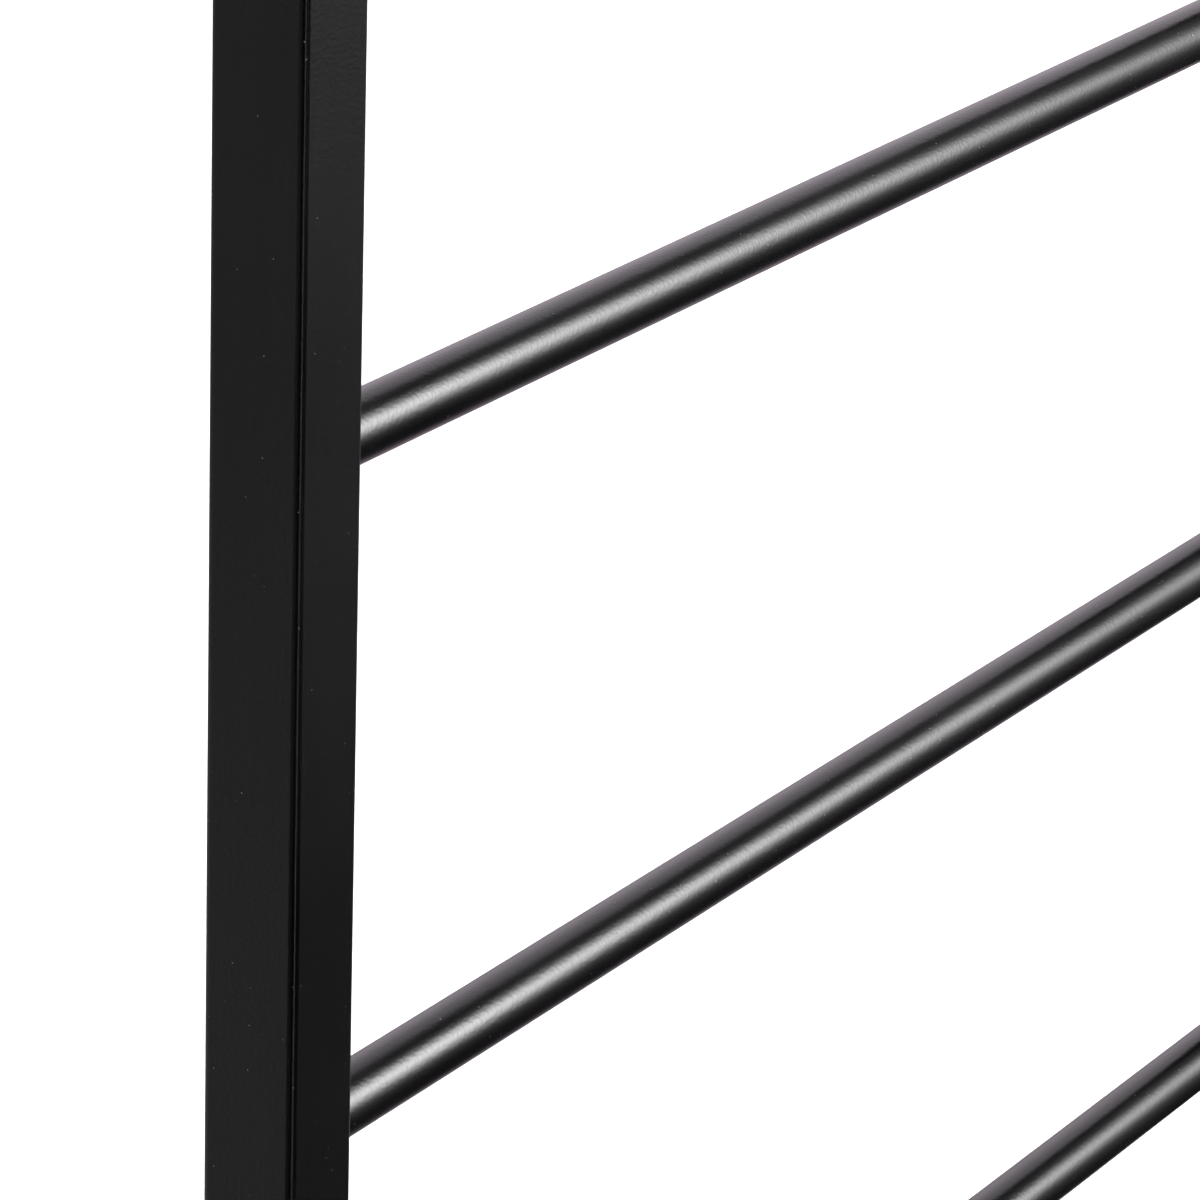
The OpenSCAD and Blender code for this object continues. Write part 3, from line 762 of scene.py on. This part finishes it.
def makeFootScrews():
    shape = screwShape
    level = middleOf("foot_screws").z
    length, head, plain = shape["length"], shape["headRadius"], shape["plainEnd"]
    wall, top, under = shape["headWall"], shape["headHeight"], shape["underEdge"]
    steps = [(shape["rootRadius"] - shape["tipTaper"], -length)]
    steps += threadSteps(shape["threadRadius"], shape["rootRadius"], plain - length, -plain,
                         shape["pitch"])
    steps += [(shape["threadRadius"], 0), (head - under, 0), (head, under), (head, wall)]
    # the dome is a quarter of an oval from the head's wall to its flat top
    flat = shape["flatShare"] * head
    for radius, height in arc((0, 0), 1, 0, 90, 8)[1:]:
        steps.append((flat + (head - flat) * radius, wall + (top - wall) * height))
    screw = turned("screw", steps, 64)
    combine(screw, rod("socket", (0, 0, top - shape["socketDepth"]), (0, 0, top + beyond),
                       shape["socketAcross"] / 2, 6))
    softEdges(screw, shape["edgeSoftness"], 2)
    both = []
    for side in ("left", "right"):
        upright = boxOf(side + "_upright")
        both.append(outward(copyOf(screw, "screw_" + side), (upright[2].x, upright[1].y, level)))
    bpy.data.objects.remove(screw)
    finished(joined(both, "foot_screws_button_head"), "zincPlate", "foot_screws")


insertShape = {
    "flangeRadius": 6.0 * mm,
    "flangeHeight": 1.0 * mm,
    "bodyRadius": 4.5 * mm,
    "depth": 8.5 * mm,
    "boreRadius": 2.5 * mm,
    "grooveRadius": 2.95 * mm,
    "pitch": 1.0 * mm,
    "lip": 0.45 * mm,
    "waistDepth": 0.25 * mm,
    "waistPlaces": (0.32, 0.36, 0.62, 0.66),
    "plainEnd": 0.3 * mm,
    "leadIn": (0.4 * mm, 0.5 * mm),
    "knurlTeeth": 36,
    "knurlRadius": 0.22 * mm,
    "knurlOutside": 0.12 * mm,
}


def makeInserts():
    shape = insertShape
    low, high, middle = boxOf("wall_mount_inserts")
    flange, top, body = shape["flangeRadius"], shape["flangeHeight"], shape["bodyRadius"]
    bore, depth, lip, plain = shape["boreRadius"], shape["depth"], shape["lip"], shape["plainEnd"]
    waist = body - shape["waistDepth"]
    places = [-share * depth for share in shape["waistPlaces"]]
    leadWidth, leadLength = shape["leadIn"]
    steps = [(bore + lip, top), (flange - 2 * lip, top)]
    steps += arc((flange - lip, top - lip), lip, 90, 0, 4)
    steps += [(flange, 0), (body, 0), (body, places[0]), (waist, places[1]), (waist, places[2]),
              (body, places[3]), (body, leadLength - depth), (body - leadWidth, -depth),
              (bore + plain, -depth)]
    steps += threadSteps(bore, shape["grooveRadius"], plain - depth, top - plain, shape["pitch"])
    steps += [(bore + lip, top)]
    first = turned("insert", steps, 64, ring=True)
    # knurl round the flange
    cutters = []
    for k in range(shape["knurlTeeth"]):
        angle = 2 * math.pi * k / shape["knurlTeeth"]
        x = (flange + shape["knurlOutside"]) * math.cos(angle)
        y = (flange + shape["knurlOutside"]) * math.sin(angle)
        cutters.append(rod("notch", (x, y, -beyond), (x, y, top + beyond), shape["knurlRadius"], 8))
    combine(first, joined(cutters, "notches"))
    every = []
    for side in ("left", "right"):
        upright = boxOf(side + "_upright")
        for level in (low.z + flange, high.z - flange):
            twin = copyOf(first, "insert_" + side)
            every.append(outward(twin, (upright[2].x, upright[1].y, level)))
    bpy.data.objects.remove(first)
    finished(joined(every, "wall_mount_inserts_threaded"), "zincPlate", "wall_mount_inserts")


earthShape = {
    "threadRadius": 2.0 * mm,
    "rootRadius": 1.65 * mm,
    "pitch": 0.7 * mm,
    "length": 8 * mm,
    "tipTaper": 0.3 * mm,
    "plainEnd": 0.4 * mm,
    "headRadius": 4.0 * mm,
    "headHeight": 2.6 * mm,
    "edgeRound": 1.3 * mm,
    "underEdge": 0.1 * mm,
    "slotWidth": 1.2 * mm,
    "slotDepth": 1.0 * mm,
    "edgeSoftness": 0.08 * mm,
}


def makeEarthScrew():
    shape = earthShape
    middle = middleOf("earth_screw")
    head, top, edge = shape["headRadius"], shape["headHeight"], shape["edgeRound"]
    length, plain, under = shape["length"], shape["plainEnd"], shape["underEdge"]
    steps = [(shape["rootRadius"] - shape["tipTaper"], -length)]
    steps += threadSteps(shape["threadRadius"], shape["rootRadius"], plain - length, -plain,
                         shape["pitch"])
    steps += [(shape["threadRadius"], 0), (head - under, 0), (head, under)]
    steps += arc((head - edge, top - edge), edge, 0, 90, 8)
    screw = turned("earth_screw_slotted", steps, 64)
    half, reach = shape["slotWidth"] / 2, head + beyond
    combine(screw, block("slot", (-reach, -half, top - shape["slotDepth"]), (reach, half, top + beyond)))
    softEdges(screw, shape["edgeSoftness"], 2)
    outward(screw, (middle.x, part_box("right_upright")[1].y, middle.z))
    finished(screw, "zincPlate", "earth_screw")


# Rocker switch in the front of the right upright

switchShape = {
    "bezelDepth": 2.0 * mm,
    "cornerRound": 1.5 * mm,
    "frontRound": 0.7 * mm,
    "body": (12.8 * mm, 18.8 * mm, 13 * mm),
    "overlap": 0.5 * mm,
    "window": (10.2 * mm, 16.2 * mm, 8 * mm),
    "windowRound": 0.4 * mm,
    "windowEdge": 0.3 * mm,
    "lug": (6 * mm, 0.6 * mm, 1.6 * mm, 4.5 * mm),
    "pinHole": 1.25 * mm,
    "pinHoleReach": 8 * mm,
    "tab": (4.9 * mm, 0.9 * mm, 10 * mm),
    "pivotDepth": 1.0 * mm,
}


def switchFrame():
    # middle of the bezel, on the face of the upright
    middle = middleOf("switch_housing")
    return Vector((middle.x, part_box("right_upright")[0].y, middle.z))


def makeSwitchHousing():
    shape = switchShape
    low, high, middle = boxOf("switch_housing")
    halfX, halfZ = high.x - middle.x, high.z - middle.z
    front, depth = -shape["bezelDepth"], shape["pivotDepth"]
    housing = block("switch_housing_moulding", (-halfX, front, -halfZ), (halfX, 0, halfZ))
    startEdit(housing)
    bevelEdges(housing, lambda place, way: abs(way.y) > 0.9, shape["cornerRound"], 6)
    bevelEdges(housing, lambda place, way: place.y < front + touch, shape["frontRound"], 4)
    endEdit()
    width, tall, deep = shape["body"]
    combine(housing, block("body", (-width / 2, -shape["overlap"], -tall / 2),
                           (width / 2, deep, tall / 2)), "UNION")
    # lugs above and below, each with its rear edge drawn in to the body
    lugWidth, lugHeight, lugStart, lugEnd = shape["lug"]
    for way in (-1, 1):
        outer = way * (tall / 2 + lugHeight)
        lug = block("lug", (-lugWidth / 2, lugStart, min(0, outer)),
                    (lugWidth / 2, lugEnd, max(0, outer)))
        startEdit(lug)
        pickEdges(lug, lambda place, along: place.y > lugEnd - touch and abs(along.x) > 0.9
                  and abs(place.z) > tall / 2)
        bpy.ops.transform.translate(value=(0, 0, -way * lugHeight))
        endEdit()
        combine(housing, lug, "UNION")
    openX, openZ, openDeep = shape["window"][0] / 2, shape["window"][1] / 2, shape["window"][2]
    opening = block("window", (-openX, front - beyond, -openZ), (openX, openDeep, openZ))
    startEdit(opening)
    bevelEdges(opening, lambda place, way: abs(way.y) > 0.9, shape["windowRound"], 3)
    endEdit()
    combine(housing, opening)
    startEdit(housing)
    bevelEdges(housing, lambda place, way: place.y < front + touch and abs(place.x) < openX + touch
               and abs(place.z) < openZ + touch, shape["windowEdge"], 3)
    endEdit()
    reach = shape["pinHoleReach"]
    combine(housing, rod("pinHole", (-reach, depth, 0), (reach, depth, 0), shape["pinHole"], 32))
    tabWidth, tabThick, gap = shape["tab"]
    for level in (-gap / 2, gap / 2):
        combine(housing, block("tabSlot", (-tabWidth / 2, openDeep - beyond, level - tabThick / 2),
                               (tabWidth / 2, deep + beyond, level + tabThick / 2)))
    put(housing, switchFrame())
    finished(housing, "switchPlastic", "switch_housing")


rockerShape = {
    "width": 9.6 * mm,
    "endRadius": 7.8 * mm,
    "dipDepth": 3.6 * mm,
    "tipRise": 1.4 * mm,
    "dipRound": 3.2 * mm,
    "backDepth": 3.0 * mm,
    "backHalf": 2.5 * mm,
    "sideDepth": -0.4 * mm,
    "edgeRound": 0.35 * mm,
    "wedgeRoom": 3 * mm,
    "pinRadius": 1.2 * mm,
    "pinReach": 1.0 * mm,
    "restAngle": 10,
    "markPlace": 4.9 * mm,
    "markProud": 0.06 * mm,
    "markThickness": 0.3 * mm,
    "onMark": (0.4 * mm, 1.5 * mm),
    "onMarkEdge": 0.12 * mm,
    "offMark": (1.0 * mm, 1.5 * mm),
    "offMarkEdge": 0.06 * mm,
}


def makeRocker():
    # made about its pivot, front towards -Y, then turned to its rest position
    shape = rockerShape
    half, radius, dip = shape["width"] / 2, shape["endRadius"], shape["dipDepth"]
    back, backHalf = shape["backDepth"], shape["backHalf"]
    rocker = rod("switch_rocker_moulding", (-half, 0, 0), (half, 0, 0), radius, 128)
    # dished front: a block with a rounded ridge along X takes the front away
    reach, side = radius + beyond, half + beyond
    wedge = block("wedge", (-side, -reach - shape["wedgeRoom"], -reach), (side, -dip, reach))
    startEdit(wedge)
    bpy.ops.mesh.select_all(action="SELECT")
    bpy.ops.mesh.bisect(plane_co=(0, 0, 0), plane_no=(0, 0, 1))
    pickEdges(wedge, lambda place, way: place.y > -dip - touch and abs(way.x) > 0.9
              and abs(place.z) > reach - touch)
    bpy.ops.transform.translate(value=(0, -shape["tipRise"], 0))
    bevelEdges(wedge, lambda place, way: place.y > -dip - touch and abs(way.x) > 0.9
               and abs(place.z) < touch, shape["dipRound"], 10)
    endEdit()
    combine(rocker, wedge)
    # slanted back, narrow towards the contacts
    startEdit(rocker)
    run = Vector((0, back - shape["sideDepth"], backHalf - radius))
    for way in (-1, 1):
        bpy.ops.mesh.select_all(action="SELECT")
        bpy.ops.mesh.bisect(plane_co=(0, back, way * backHalf), plane_no=(0, -run.z, way * run.y),
                            use_fill=True, clear_outer=True)
    bpy.ops.mesh.select_all(action="SELECT")
    bpy.ops.mesh.bisect(plane_co=(0, back, 0), plane_no=(0, 1, 0), use_fill=True, clear_outer=True)
    endEdit()
    softEdges(rocker, shape["edgeRound"], 3, 50)
    pin = half + shape["pinReach"]
    combine(rocker, rod("pin", (-pin, 0, 0), (pin, 0, 0), shape["pinRadius"], 32), "UNION")
    # on and off marks lie on the two slopes of the dish
    slope = math.atan2(shape["tipRise"], reach)
    place, thick = shape["markPlace"], shape["markThickness"]
    depth = thick - dip - shape["tipRise"] * place / reach - shape["markProud"]
    wide, tall = shape["onMark"]
    onMark = block("rocker_mark_on", (-wide, -thick, -tall), (wide, 0, tall))
    softEdges(onMark, shape["onMarkEdge"], 2)
    put(onMark, (0, depth, place), (slope, 0, 0))
    (inner, outer), edge = shape["offMark"], shape["offMarkEdge"]
    offMark = turned("rocker_mark_off", [
        (inner, 0), (outer, 0), (outer, thick - edge), (outer - edge, thick), (inner + edge, thick),
        (inner, thick - edge), (inner, 0)], 48, ring=True)
    put(offMark, (0, 0, 0), (math.radians(90), 0, 0))
    put(offMark, (0, depth, -place), (-slope, 0, 0))
    pivot = switchFrame() + Vector((0, switchShape["pivotDepth"], 0))
    for piece in (rocker, onMark, offMark):
        put(piece, pivot, (math.radians(shape["restAngle"]), 0, 0))
    finished(rocker, "switchPlastic", "switch_rocker", body="rocker")
    for mark in (onMark, offMark):
        onlySelected(mark)
        bpy.ops.object.shade_smooth_by_angle(angle=math.radians(35))
        mark.data.materials.append(finishes["markPrint"])
        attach(mark, "rocker")


# Cable gland on the back of the right upright

glandShape = {
    "threadRadius": 6.0 * mm,
    "threadRoot": 5.45 * mm,
    "pitch": 1.5 * mm,
    "plainEnd": 0.4 * mm,
    "stub": 7 * mm,
    "flangeRadius": 8.5 * mm,
    "flange": 3.5 * mm,
    "flangeChamfer": 0.3 * mm,
    "flangeRound": 0.6 * mm,
    "neckRadius": 6.4 * mm,
    "neckRoot": 5.95 * mm,
    "neck": 8 * mm,
    "neckEnd": 0.5 * mm,
    "bore": 4.0 * mm,
    "cupRadius": 5.4 * mm,
    "cup": 6 * mm,
    "nutGap": 0.4 * mm,
    "nutCorner": 8.5 * mm,
    "hexLength": 7.2 * mm,
    "nutLength": 12 * mm,
    "nutChamfer": (0.9 * mm, 0.5 * mm),
    "domeRadii": (7.3 * mm, 5.95 * mm),
    "domeWall": (-0.5 * mm, 0.3 * mm),
    "domeEdge": ((0.35 * mm, -0.5 * mm), (0, -0.12 * mm), (-0.3 * mm, 0)),
    "nutBore": 6.45 * mm,
    "mouth": 4.4 * mm,
    "endWall": 2 * mm,
    "ribs": 12,
    "ribHalf": 0.35 * mm,
    "ribDepths": (0.9 * mm, 0.05 * mm),
    "ribEnds": (-0.2 * mm, -1.2 * mm),
    "edgeSoftness": 0.12 * mm,
}


def glandPlace():
    middle = middleOf("gland_body")
    return (middle.x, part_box("right_upright")[1].y, middle.z)


def makeGlandBody():
    shape = glandShape
    stub, flange, neckTop = -shape["stub"], shape["flange"], shape["flange"] + shape["neck"]
    thread, neck, plain = shape["threadRadius"], shape["neckRadius"], shape["plainEnd"]
    wide, chamfer, edge = shape["flangeRadius"], shape["flangeChamfer"], shape["flangeRound"]
    bore, cup, cupFloor = shape["bore"], shape["cupRadius"], neckTop - shape["cup"]
    steps = [(bore, stub), (shape["threadRoot"], stub)]
    steps += threadSteps(thread, shape["threadRoot"], plain + stub, -plain, shape["pitch"])
    steps += [(thread, 0), (wide - chamfer, 0), (wide, chamfer)]
    steps += arc((wide - edge, flange - edge), edge, 0, 90, 4)
    steps += [(neck, flange)]
    steps += threadSteps(neck, shape["neckRoot"], flange + plain, neckTop - shape["neckEnd"],
                         shape["pitch"])
    steps += [(neck - plain, neckTop), (cup, neckTop), (cup, cupFloor), (bore, cupFloor), (bore, stub)]
    body = turned("gland_body_moulding", steps, 64, ring=True)
    outward(body, glandPlace())
    finished(body, "mouldedPlastic", "gland_body")


def makeDomeNut():
    shape = glandShape
    start = shape["flange"] + shape["nutGap"]
    hexEnd, end = start + shape["hexLength"], start + shape["nutLength"]
    corner, (inset, chamfer) = shape["nutCorner"], shape["nutChamfer"]
    nut = rod("gland_dome_nut_moulding", (0, 0, start), (0, 0, hexEnd), corner, 6)
    # chamfered corners at both ends of the hexagon
    combine(nut, turned("chamfer", [(corner - inset, start), (corner, start + chamfer),
                                    (corner, hexEnd - chamfer), (corner - inset, hexEnd)], 64),
            "INTERSECT")
    wide, narrow = shape["domeRadii"]
    dome = [(wide, hexEnd + rise) for rise in shape["domeWall"]]
    dome += [(narrow + out, end + rise) for out, rise in shape["domeEdge"]]
    cone = turned("dome", dome, 64)
    ribs = []
    ribHalf, (sink, show), (ribStart, ribEnd) = shape["ribHalf"], shape["ribDepths"], shape["ribEnds"]
    for k in range(shape["ribs"]):
        rib = block("rib", (wide - sink, -ribHalf, hexEnd + ribStart),
                    (wide - show, ribHalf, end + ribEnd))
        startEdit(rib)
        pickFaces(rib, lambda place, normal: normal.z > 0.9)
        bpy.ops.transform.translate(value=(narrow - wide + ribHalf, 0, 0))
        endEdit()
        ribs.append(put(rib, (0, 0, 0), (0, 0, 2 * math.pi * (k + 0.5) / shape["ribs"])))
    combine(cone, joined(ribs, "ribs"), "UNION")
    combine(nut, cone, "UNION")
    combine(nut, rod("bore", (0, 0, start - beyond), (0, 0, end - shape["endWall"]), shape["nutBore"]))
    combine(nut, rod("mouth", (0, 0, start), (0, 0, end + beyond), shape["mouth"]))
    softEdges(nut, shape["edgeSoftness"], 2, 30)
    outward(nut, glandPlace())
    finished(nut, "mouldedPlastic", "gland_dome_nut", smoothAngle=25)


sealShape = {
    "bore": 3.4 * mm,
    "groove": (0.35, 0.40, 0.45),
    "grooveDepth": 0.3 * mm,
    "outerChamfer": 0.6 * mm,
    "mouthChamfer": 0.5 * mm,
    "ringPlaces": (0.75, 0.5, 0.25),
    "ringHalf": 0.4 * mm,
    "ringDepth": 0.3 * mm,
}


def makeSeal():
    shape = sealShape
    low, high, middle = boxOf("gland_seal")
    outer, bore = high.x - middle.x, shape["bore"]
    start, end = low.y - glandPlace()[1], high.y - glandPlace()[1]
    tall, chamfer, mouth = end - start, shape["outerChamfer"], shape["mouthChamfer"]
    first, deepest, last = [start + share * tall for share in shape["groove"]]
    steps = [(bore, start), (outer, start), (outer, first), (outer - shape["grooveDepth"], deepest),
             (outer, last), (outer, end - chamfer), (outer - chamfer, end), (bore + mouth, end),
             (bore, end - mouth)]
    for share in shape["ringPlaces"]:
        level = start + share * tall
        steps += [(bore, level + shape["ringHalf"]), (bore + shape["ringDepth"], level),
                  (bore, level - shape["ringHalf"])]
    steps += [(bore, start)]
    seal = turned("gland_seal_moulding", steps, 64, ring=True)
    outward(seal, glandPlace())
    finished(seal, "padRubber", "gland_seal")


# What stays inside keeps its CAD shape and gets its own finish

innerFinishes = {
    "left_foot_spigot": "powderCoat",
    "right_foot_spigot": "powderCoat",
    "foot_weld_nuts": "zincPlate",
    "heating_cable": "creamSilicone",
    "cable_splice": "zincPlate",
    "cutout_lower_lead": "brownInsulation",
    "thermal_cutout": "zincPlate",
    "cutout_sleeve": "creamSilicone",
    "cutout_upper_lead": "brownInsulation",
    "neutral_splice": "zincPlate",
    "switch_terminals": "brassStrip",
    "gland_locknut": "mouldedPlastic",
    "earth_ring_terminal": "brassStrip",
    "earth_star_washer": "zincPlate",
    "earth_nut": "zincPlate",
}


def dressInnerNodes():
    for name, finish in innerFinishes.items():
        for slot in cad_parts[name].material_slots:
            slot.material = finishes[finish]


for side in ("left", "right"):
    makeUpright(side)
    makeFootTube(side)
for node in barNodes:
    makeBar(node)
print("uprights, bars and foot tubes made")
placeCaps()
makePads()
print("caps and pads made")
makeFootScrews()
makeInserts()
makeEarthScrew()
print("screws and inserts made")
makeSwitchHousing()
makeRocker()
print("switch made")
makeGlandBody()
makeDomeNut()
makeSeal()
print("gland made")
dressInnerNodes()


# Floor, light and camera

studio = {
    "floorSide": 80.0,
    "floorGap": 0.1 * mm,
    "floorColour": (0.86, 0.86, 0.855),
    "floorGlow": 0.78,
    "rearHeights": (-1.0, -0.45, -0.25, -0.1, 0.24),
    "rearLevels": (0.016, 0.451, 0.016, 0.377, 0.803),
    "frontHeights": (-1.0, -0.45, -0.15, 0.3, 0.8),
    "frontLevels": (0.0, 0.04, 0.26, 0.3, 0.0),
    "rightSide": (0.45, 0.78),
    "leftSide": (-0.60, 0.0),
    "plainTint": (0.98, 0.98, 1.0),
    "lowTint": (1.02, 0.80, 0.98),
    "highTint": (1.0, 0.99, 1.04),
    "borderPlace": 0.658,
    "borderBend": 0.516,
    "borderSlant": 0.204,
    "borderBlur": 0.141,
    "panelSteepness": 0.954,
    "panelSpan": 11.396,    # whole panel, in its own lengths and widths
}

softboxes = {
    "keySoftbox": {"middle": (2.625, -3.0, 2.463), "aim": (-0.27, 0.0, 0.79), "roll": -61.5,
                   "radiance": 21.3, "length": 1.447, "width": 1.002},
    "edgeStrip": {"middle": (-1.12, -1.79, 0.12), "aim": (-0.27, 0.0, 0.79), "roll": 90,
                  "radiance": 2.6, "length": 1.5, "width": 0.085},
    "frontFill": {"middle": (0.0, -4.2, 0.9), "aim": (0.0, 0.0, 0.5), "roll": 0,
                  "radiance": 0.7, "length": 0.9, "width": 0.9},
}


def makeFloor():
    nothingSelected()
    place = (0, 0, cadLow.z - studio["floorGap"])
    bpy.ops.mesh.primitive_plane_add(size=studio["floorSide"], location=place)
    floor = settled("floor")
    material, tree, shader = newMaterial("paleFloor")
    shader.inputs["Base Color"].default_value = (*studio["floorColour"], 1)
    shader.inputs["Roughness"].default_value = 0.9
    shader.inputs["Emission Color"].default_value = (1, 1, 1, 1)
    shader.inputs["Emission Strength"].default_value = studio["floorGlow"]
    floor.data.materials.append(material)
    floor.visible_glossy = False


def levelsByHeight(tree, height, heights, levels):
    # a ramp over the Z of a direction, from -1 straight down to 1 straight up
    ramp = addNode(tree, "ShaderNodeValToRGB")
    stops = ramp.color_ramp.elements
    stops[0].color = (levels[0], levels[0], levels[0], 1)
    for place, level in zip(heights[1:], levels[1:]):
        stop = stops.new((place + 1) / 2)
        stop.color = (level, level, level, 1)
    stops.remove(stops[-1])
    link(tree, height, ramp.inputs[0])
    return ramp.outputs[0]


def makeSurroundings():
    # the camera sees plain white; the gloss sees a bright rear half and a dark front half
    world = bpy.data.worlds.new("studio")
    bpy.context.scene.world = world
    world.use_nodes = True
    tree = world.node_tree
    tree.nodes.clear()
    direction = addNode(tree, "ShaderNodeTexCoord")
    parts = addNode(tree, "ShaderNodeSeparateXYZ")
    link(tree, direction.outputs["Generated"], parts.inputs[0])
    sideways = parts.outputs["X"]
    bend = maths(tree, "MULTIPLY", maths(tree, "ABSOLUTE", sideways), studio["borderBend"])
    slant = maths(tree, "MULTIPLY", sideways, studio["borderSlant"])
    depth = maths(tree, "ADD", parts.outputs["Y"], maths(tree, "ADD", bend, slant))
    behind = spread(tree, depth, studio["borderPlace"] - studio["borderBlur"],
                    studio["borderPlace"] + studio["borderBlur"], kind="SMOOTHSTEP")
    height = maths(tree, "MULTIPLY", maths(tree, "ADD", parts.outputs["Z"], 1.0), 0.5)
    rear = levelsByHeight(tree, height, studio["rearHeights"], studio["rearLevels"])
    front = levelsByHeight(tree, height, studio["frontHeights"], studio["frontLevels"])
    # straight ahead the front is dark; it is lit towards the right and towards the rear
    share = maths(tree, "MAXIMUM",
                  spread(tree, sideways, *studio["rightSide"], kind="SMOOTHSTEP"),
                  spread(tree, parts.outputs["Y"], *studio["leftSide"], kind="SMOOTHSTEP"))
    front = maths(tree, "MULTIPLY", front, share)
    strength = maths(tree, "ADD", maths(tree, "MULTIPLY", behind, rear), front)
    # what lies behind on the right is faintly purple, most of all low down
    purple = mixColour(tree, height, studio["lowTint"], studio["highTint"])
    tinted = maths(tree, "MULTIPLY", behind, maths(tree, "GREATER_THAN", sideways, 0.0))
    colour = mixColour(tree, tinted, studio["plainTint"], purple)
    seen = addNode(tree, "ShaderNodeBackground")
    seen.inputs["Color"].default_value = (1, 1, 1, 1)
    mirrored = addNode(tree, "ShaderNodeBackground")
    link(tree, colour, mirrored.inputs["Color"])
    link(tree, strength, mirrored.inputs["Strength"])
    path = addNode(tree, "ShaderNodeLightPath")
    mix = addNode(tree, "ShaderNodeMixShader")
    link(tree, path.outputs["Is Camera Ray"], mix.inputs[0])
    link(tree, mirrored.outputs[0], mix.inputs[1])
    link(tree, seen.outputs[0], mix.inputs[2])
    output = addNode(tree, "ShaderNodeOutputWorld")
    link(tree, mix.outputs[0], output.inputs[0])


def makeSoftbox(name):
    # a panel, brightest in its middle, that only reflections and light rays see
    look = softboxes[name]
    length, width = look["length"], look["width"]
    nothingSelected()
    bpy.ops.mesh.primitive_plane_add(size=studio["panelSpan"])
    panel = rename(bpy.context.object, name)
    panel.scale = (length, width, 1)
    bpy.ops.object.transform_apply(location=False, rotation=False, scale=True)
    middle = Vector(look["middle"])
    away = (middle - Vector(look["aim"])).normalized()
    across = Vector((0, 0, 1)).cross(away).normalized()
    turn = math.radians(look["roll"])
    long = math.cos(turn) * across + math.sin(turn) * away.cross(across)
    panel.matrix_world = (Matrix.Translation(middle)
                          @ Matrix((long, away.cross(long), away)).transposed().to_4x4())
    material = bpy.data.materials.new(name)
    material.use_nodes = True
    tree = material.node_tree
    tree.nodes.clear()
    place = addNode(tree, "ShaderNodeTexCoord")
    mapping = addNode(tree, "ShaderNodeMapping")
    mapping.inputs["Scale"].default_value = (1 / length, 1 / width, 1)
    link(tree, place.outputs["Object"], mapping.inputs["Vector"])
    square = addNode(tree, "ShaderNodeVectorMath", operation="DOT_PRODUCT")
    link(tree, mapping.outputs[0], square.inputs[0])
    link(tree, mapping.outputs[0], square.inputs[1])
    steep = maths(tree, "POWER", square.outputs["Value"], studio["panelSteepness"])
    fade = maths(tree, "EXPONENT", maths(tree, "MULTIPLY", steep, -1.0))
    glow = addNode(tree, "ShaderNodeEmission")
    link(tree, maths(tree, "MULTIPLY", fade, look["radiance"]), glow.inputs["Strength"])
    clear = addNode(tree, "ShaderNodeBsdfTransparent")
    both = addNode(tree, "ShaderNodeAddShader")
    link(tree, glow.outputs[0], both.inputs[0])
    link(tree, clear.outputs[0], both.inputs[1])
    output = addNode(tree, "ShaderNodeOutputMaterial")
    link(tree, both.outputs[0], output.inputs[0])
    panel.data.materials.append(material)
    panel.visible_camera = False
    panel.visible_shadow = False


cameraPlace = {
    "azimuth": -59.19,
    "elevation": 20.262,
    "roll": 1.722,
    "distance": 1.4921,
    "lens": 188.5,
    "sensor": 36,
    "clip": (0.05, 100),
    "besideLeftFace": 128.55 * mm,
    "belowSecondBar": 64.8 * mm,
}


def makeCamera():
    azimuth = math.radians(cameraPlace["azimuth"])
    elevation = math.radians(cameraPlace["elevation"])
    roll = math.radians(cameraPlace["roll"])
    back = Vector((math.sin(azimuth) * math.cos(elevation),
                   -math.cos(azimuth) * math.cos(elevation), math.sin(elevation)))
    level = Vector((math.cos(azimuth), math.sin(azimuth), 0))
    upright = back.cross(level)
    right = math.cos(roll) * level + math.sin(roll) * upright
    up = math.cos(roll) * upright - math.sin(roll) * level
    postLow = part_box("left_upright")[0]
    target = Vector((postLow.x + cameraPlace["besideLeftFace"], postLow.y,
                     middleOf("bar_2").z - cameraPlace["belowSecondBar"]))
    nothingSelected()
    bpy.ops.object.camera_add()
    camera = bpy.context.object
    camera.name = "camera"
    camera.data.lens = cameraPlace["lens"]
    camera.data.sensor_width = cameraPlace["sensor"]
    camera.data.clip_start, camera.data.clip_end = cameraPlace["clip"]
    camera.matrix_world = (Matrix.Translation(target + back * cameraPlace["distance"])
                           @ Matrix((right, up, back)).transposed().to_4x4())
    bpy.context.scene.camera = camera


makeFloor()
makeSurroundings()
for name in softboxes:
    makeSoftbox(name)
makeCamera()
bpy.context.scene.view_settings.view_transform = "Standard"
print("floor, light and camera made")
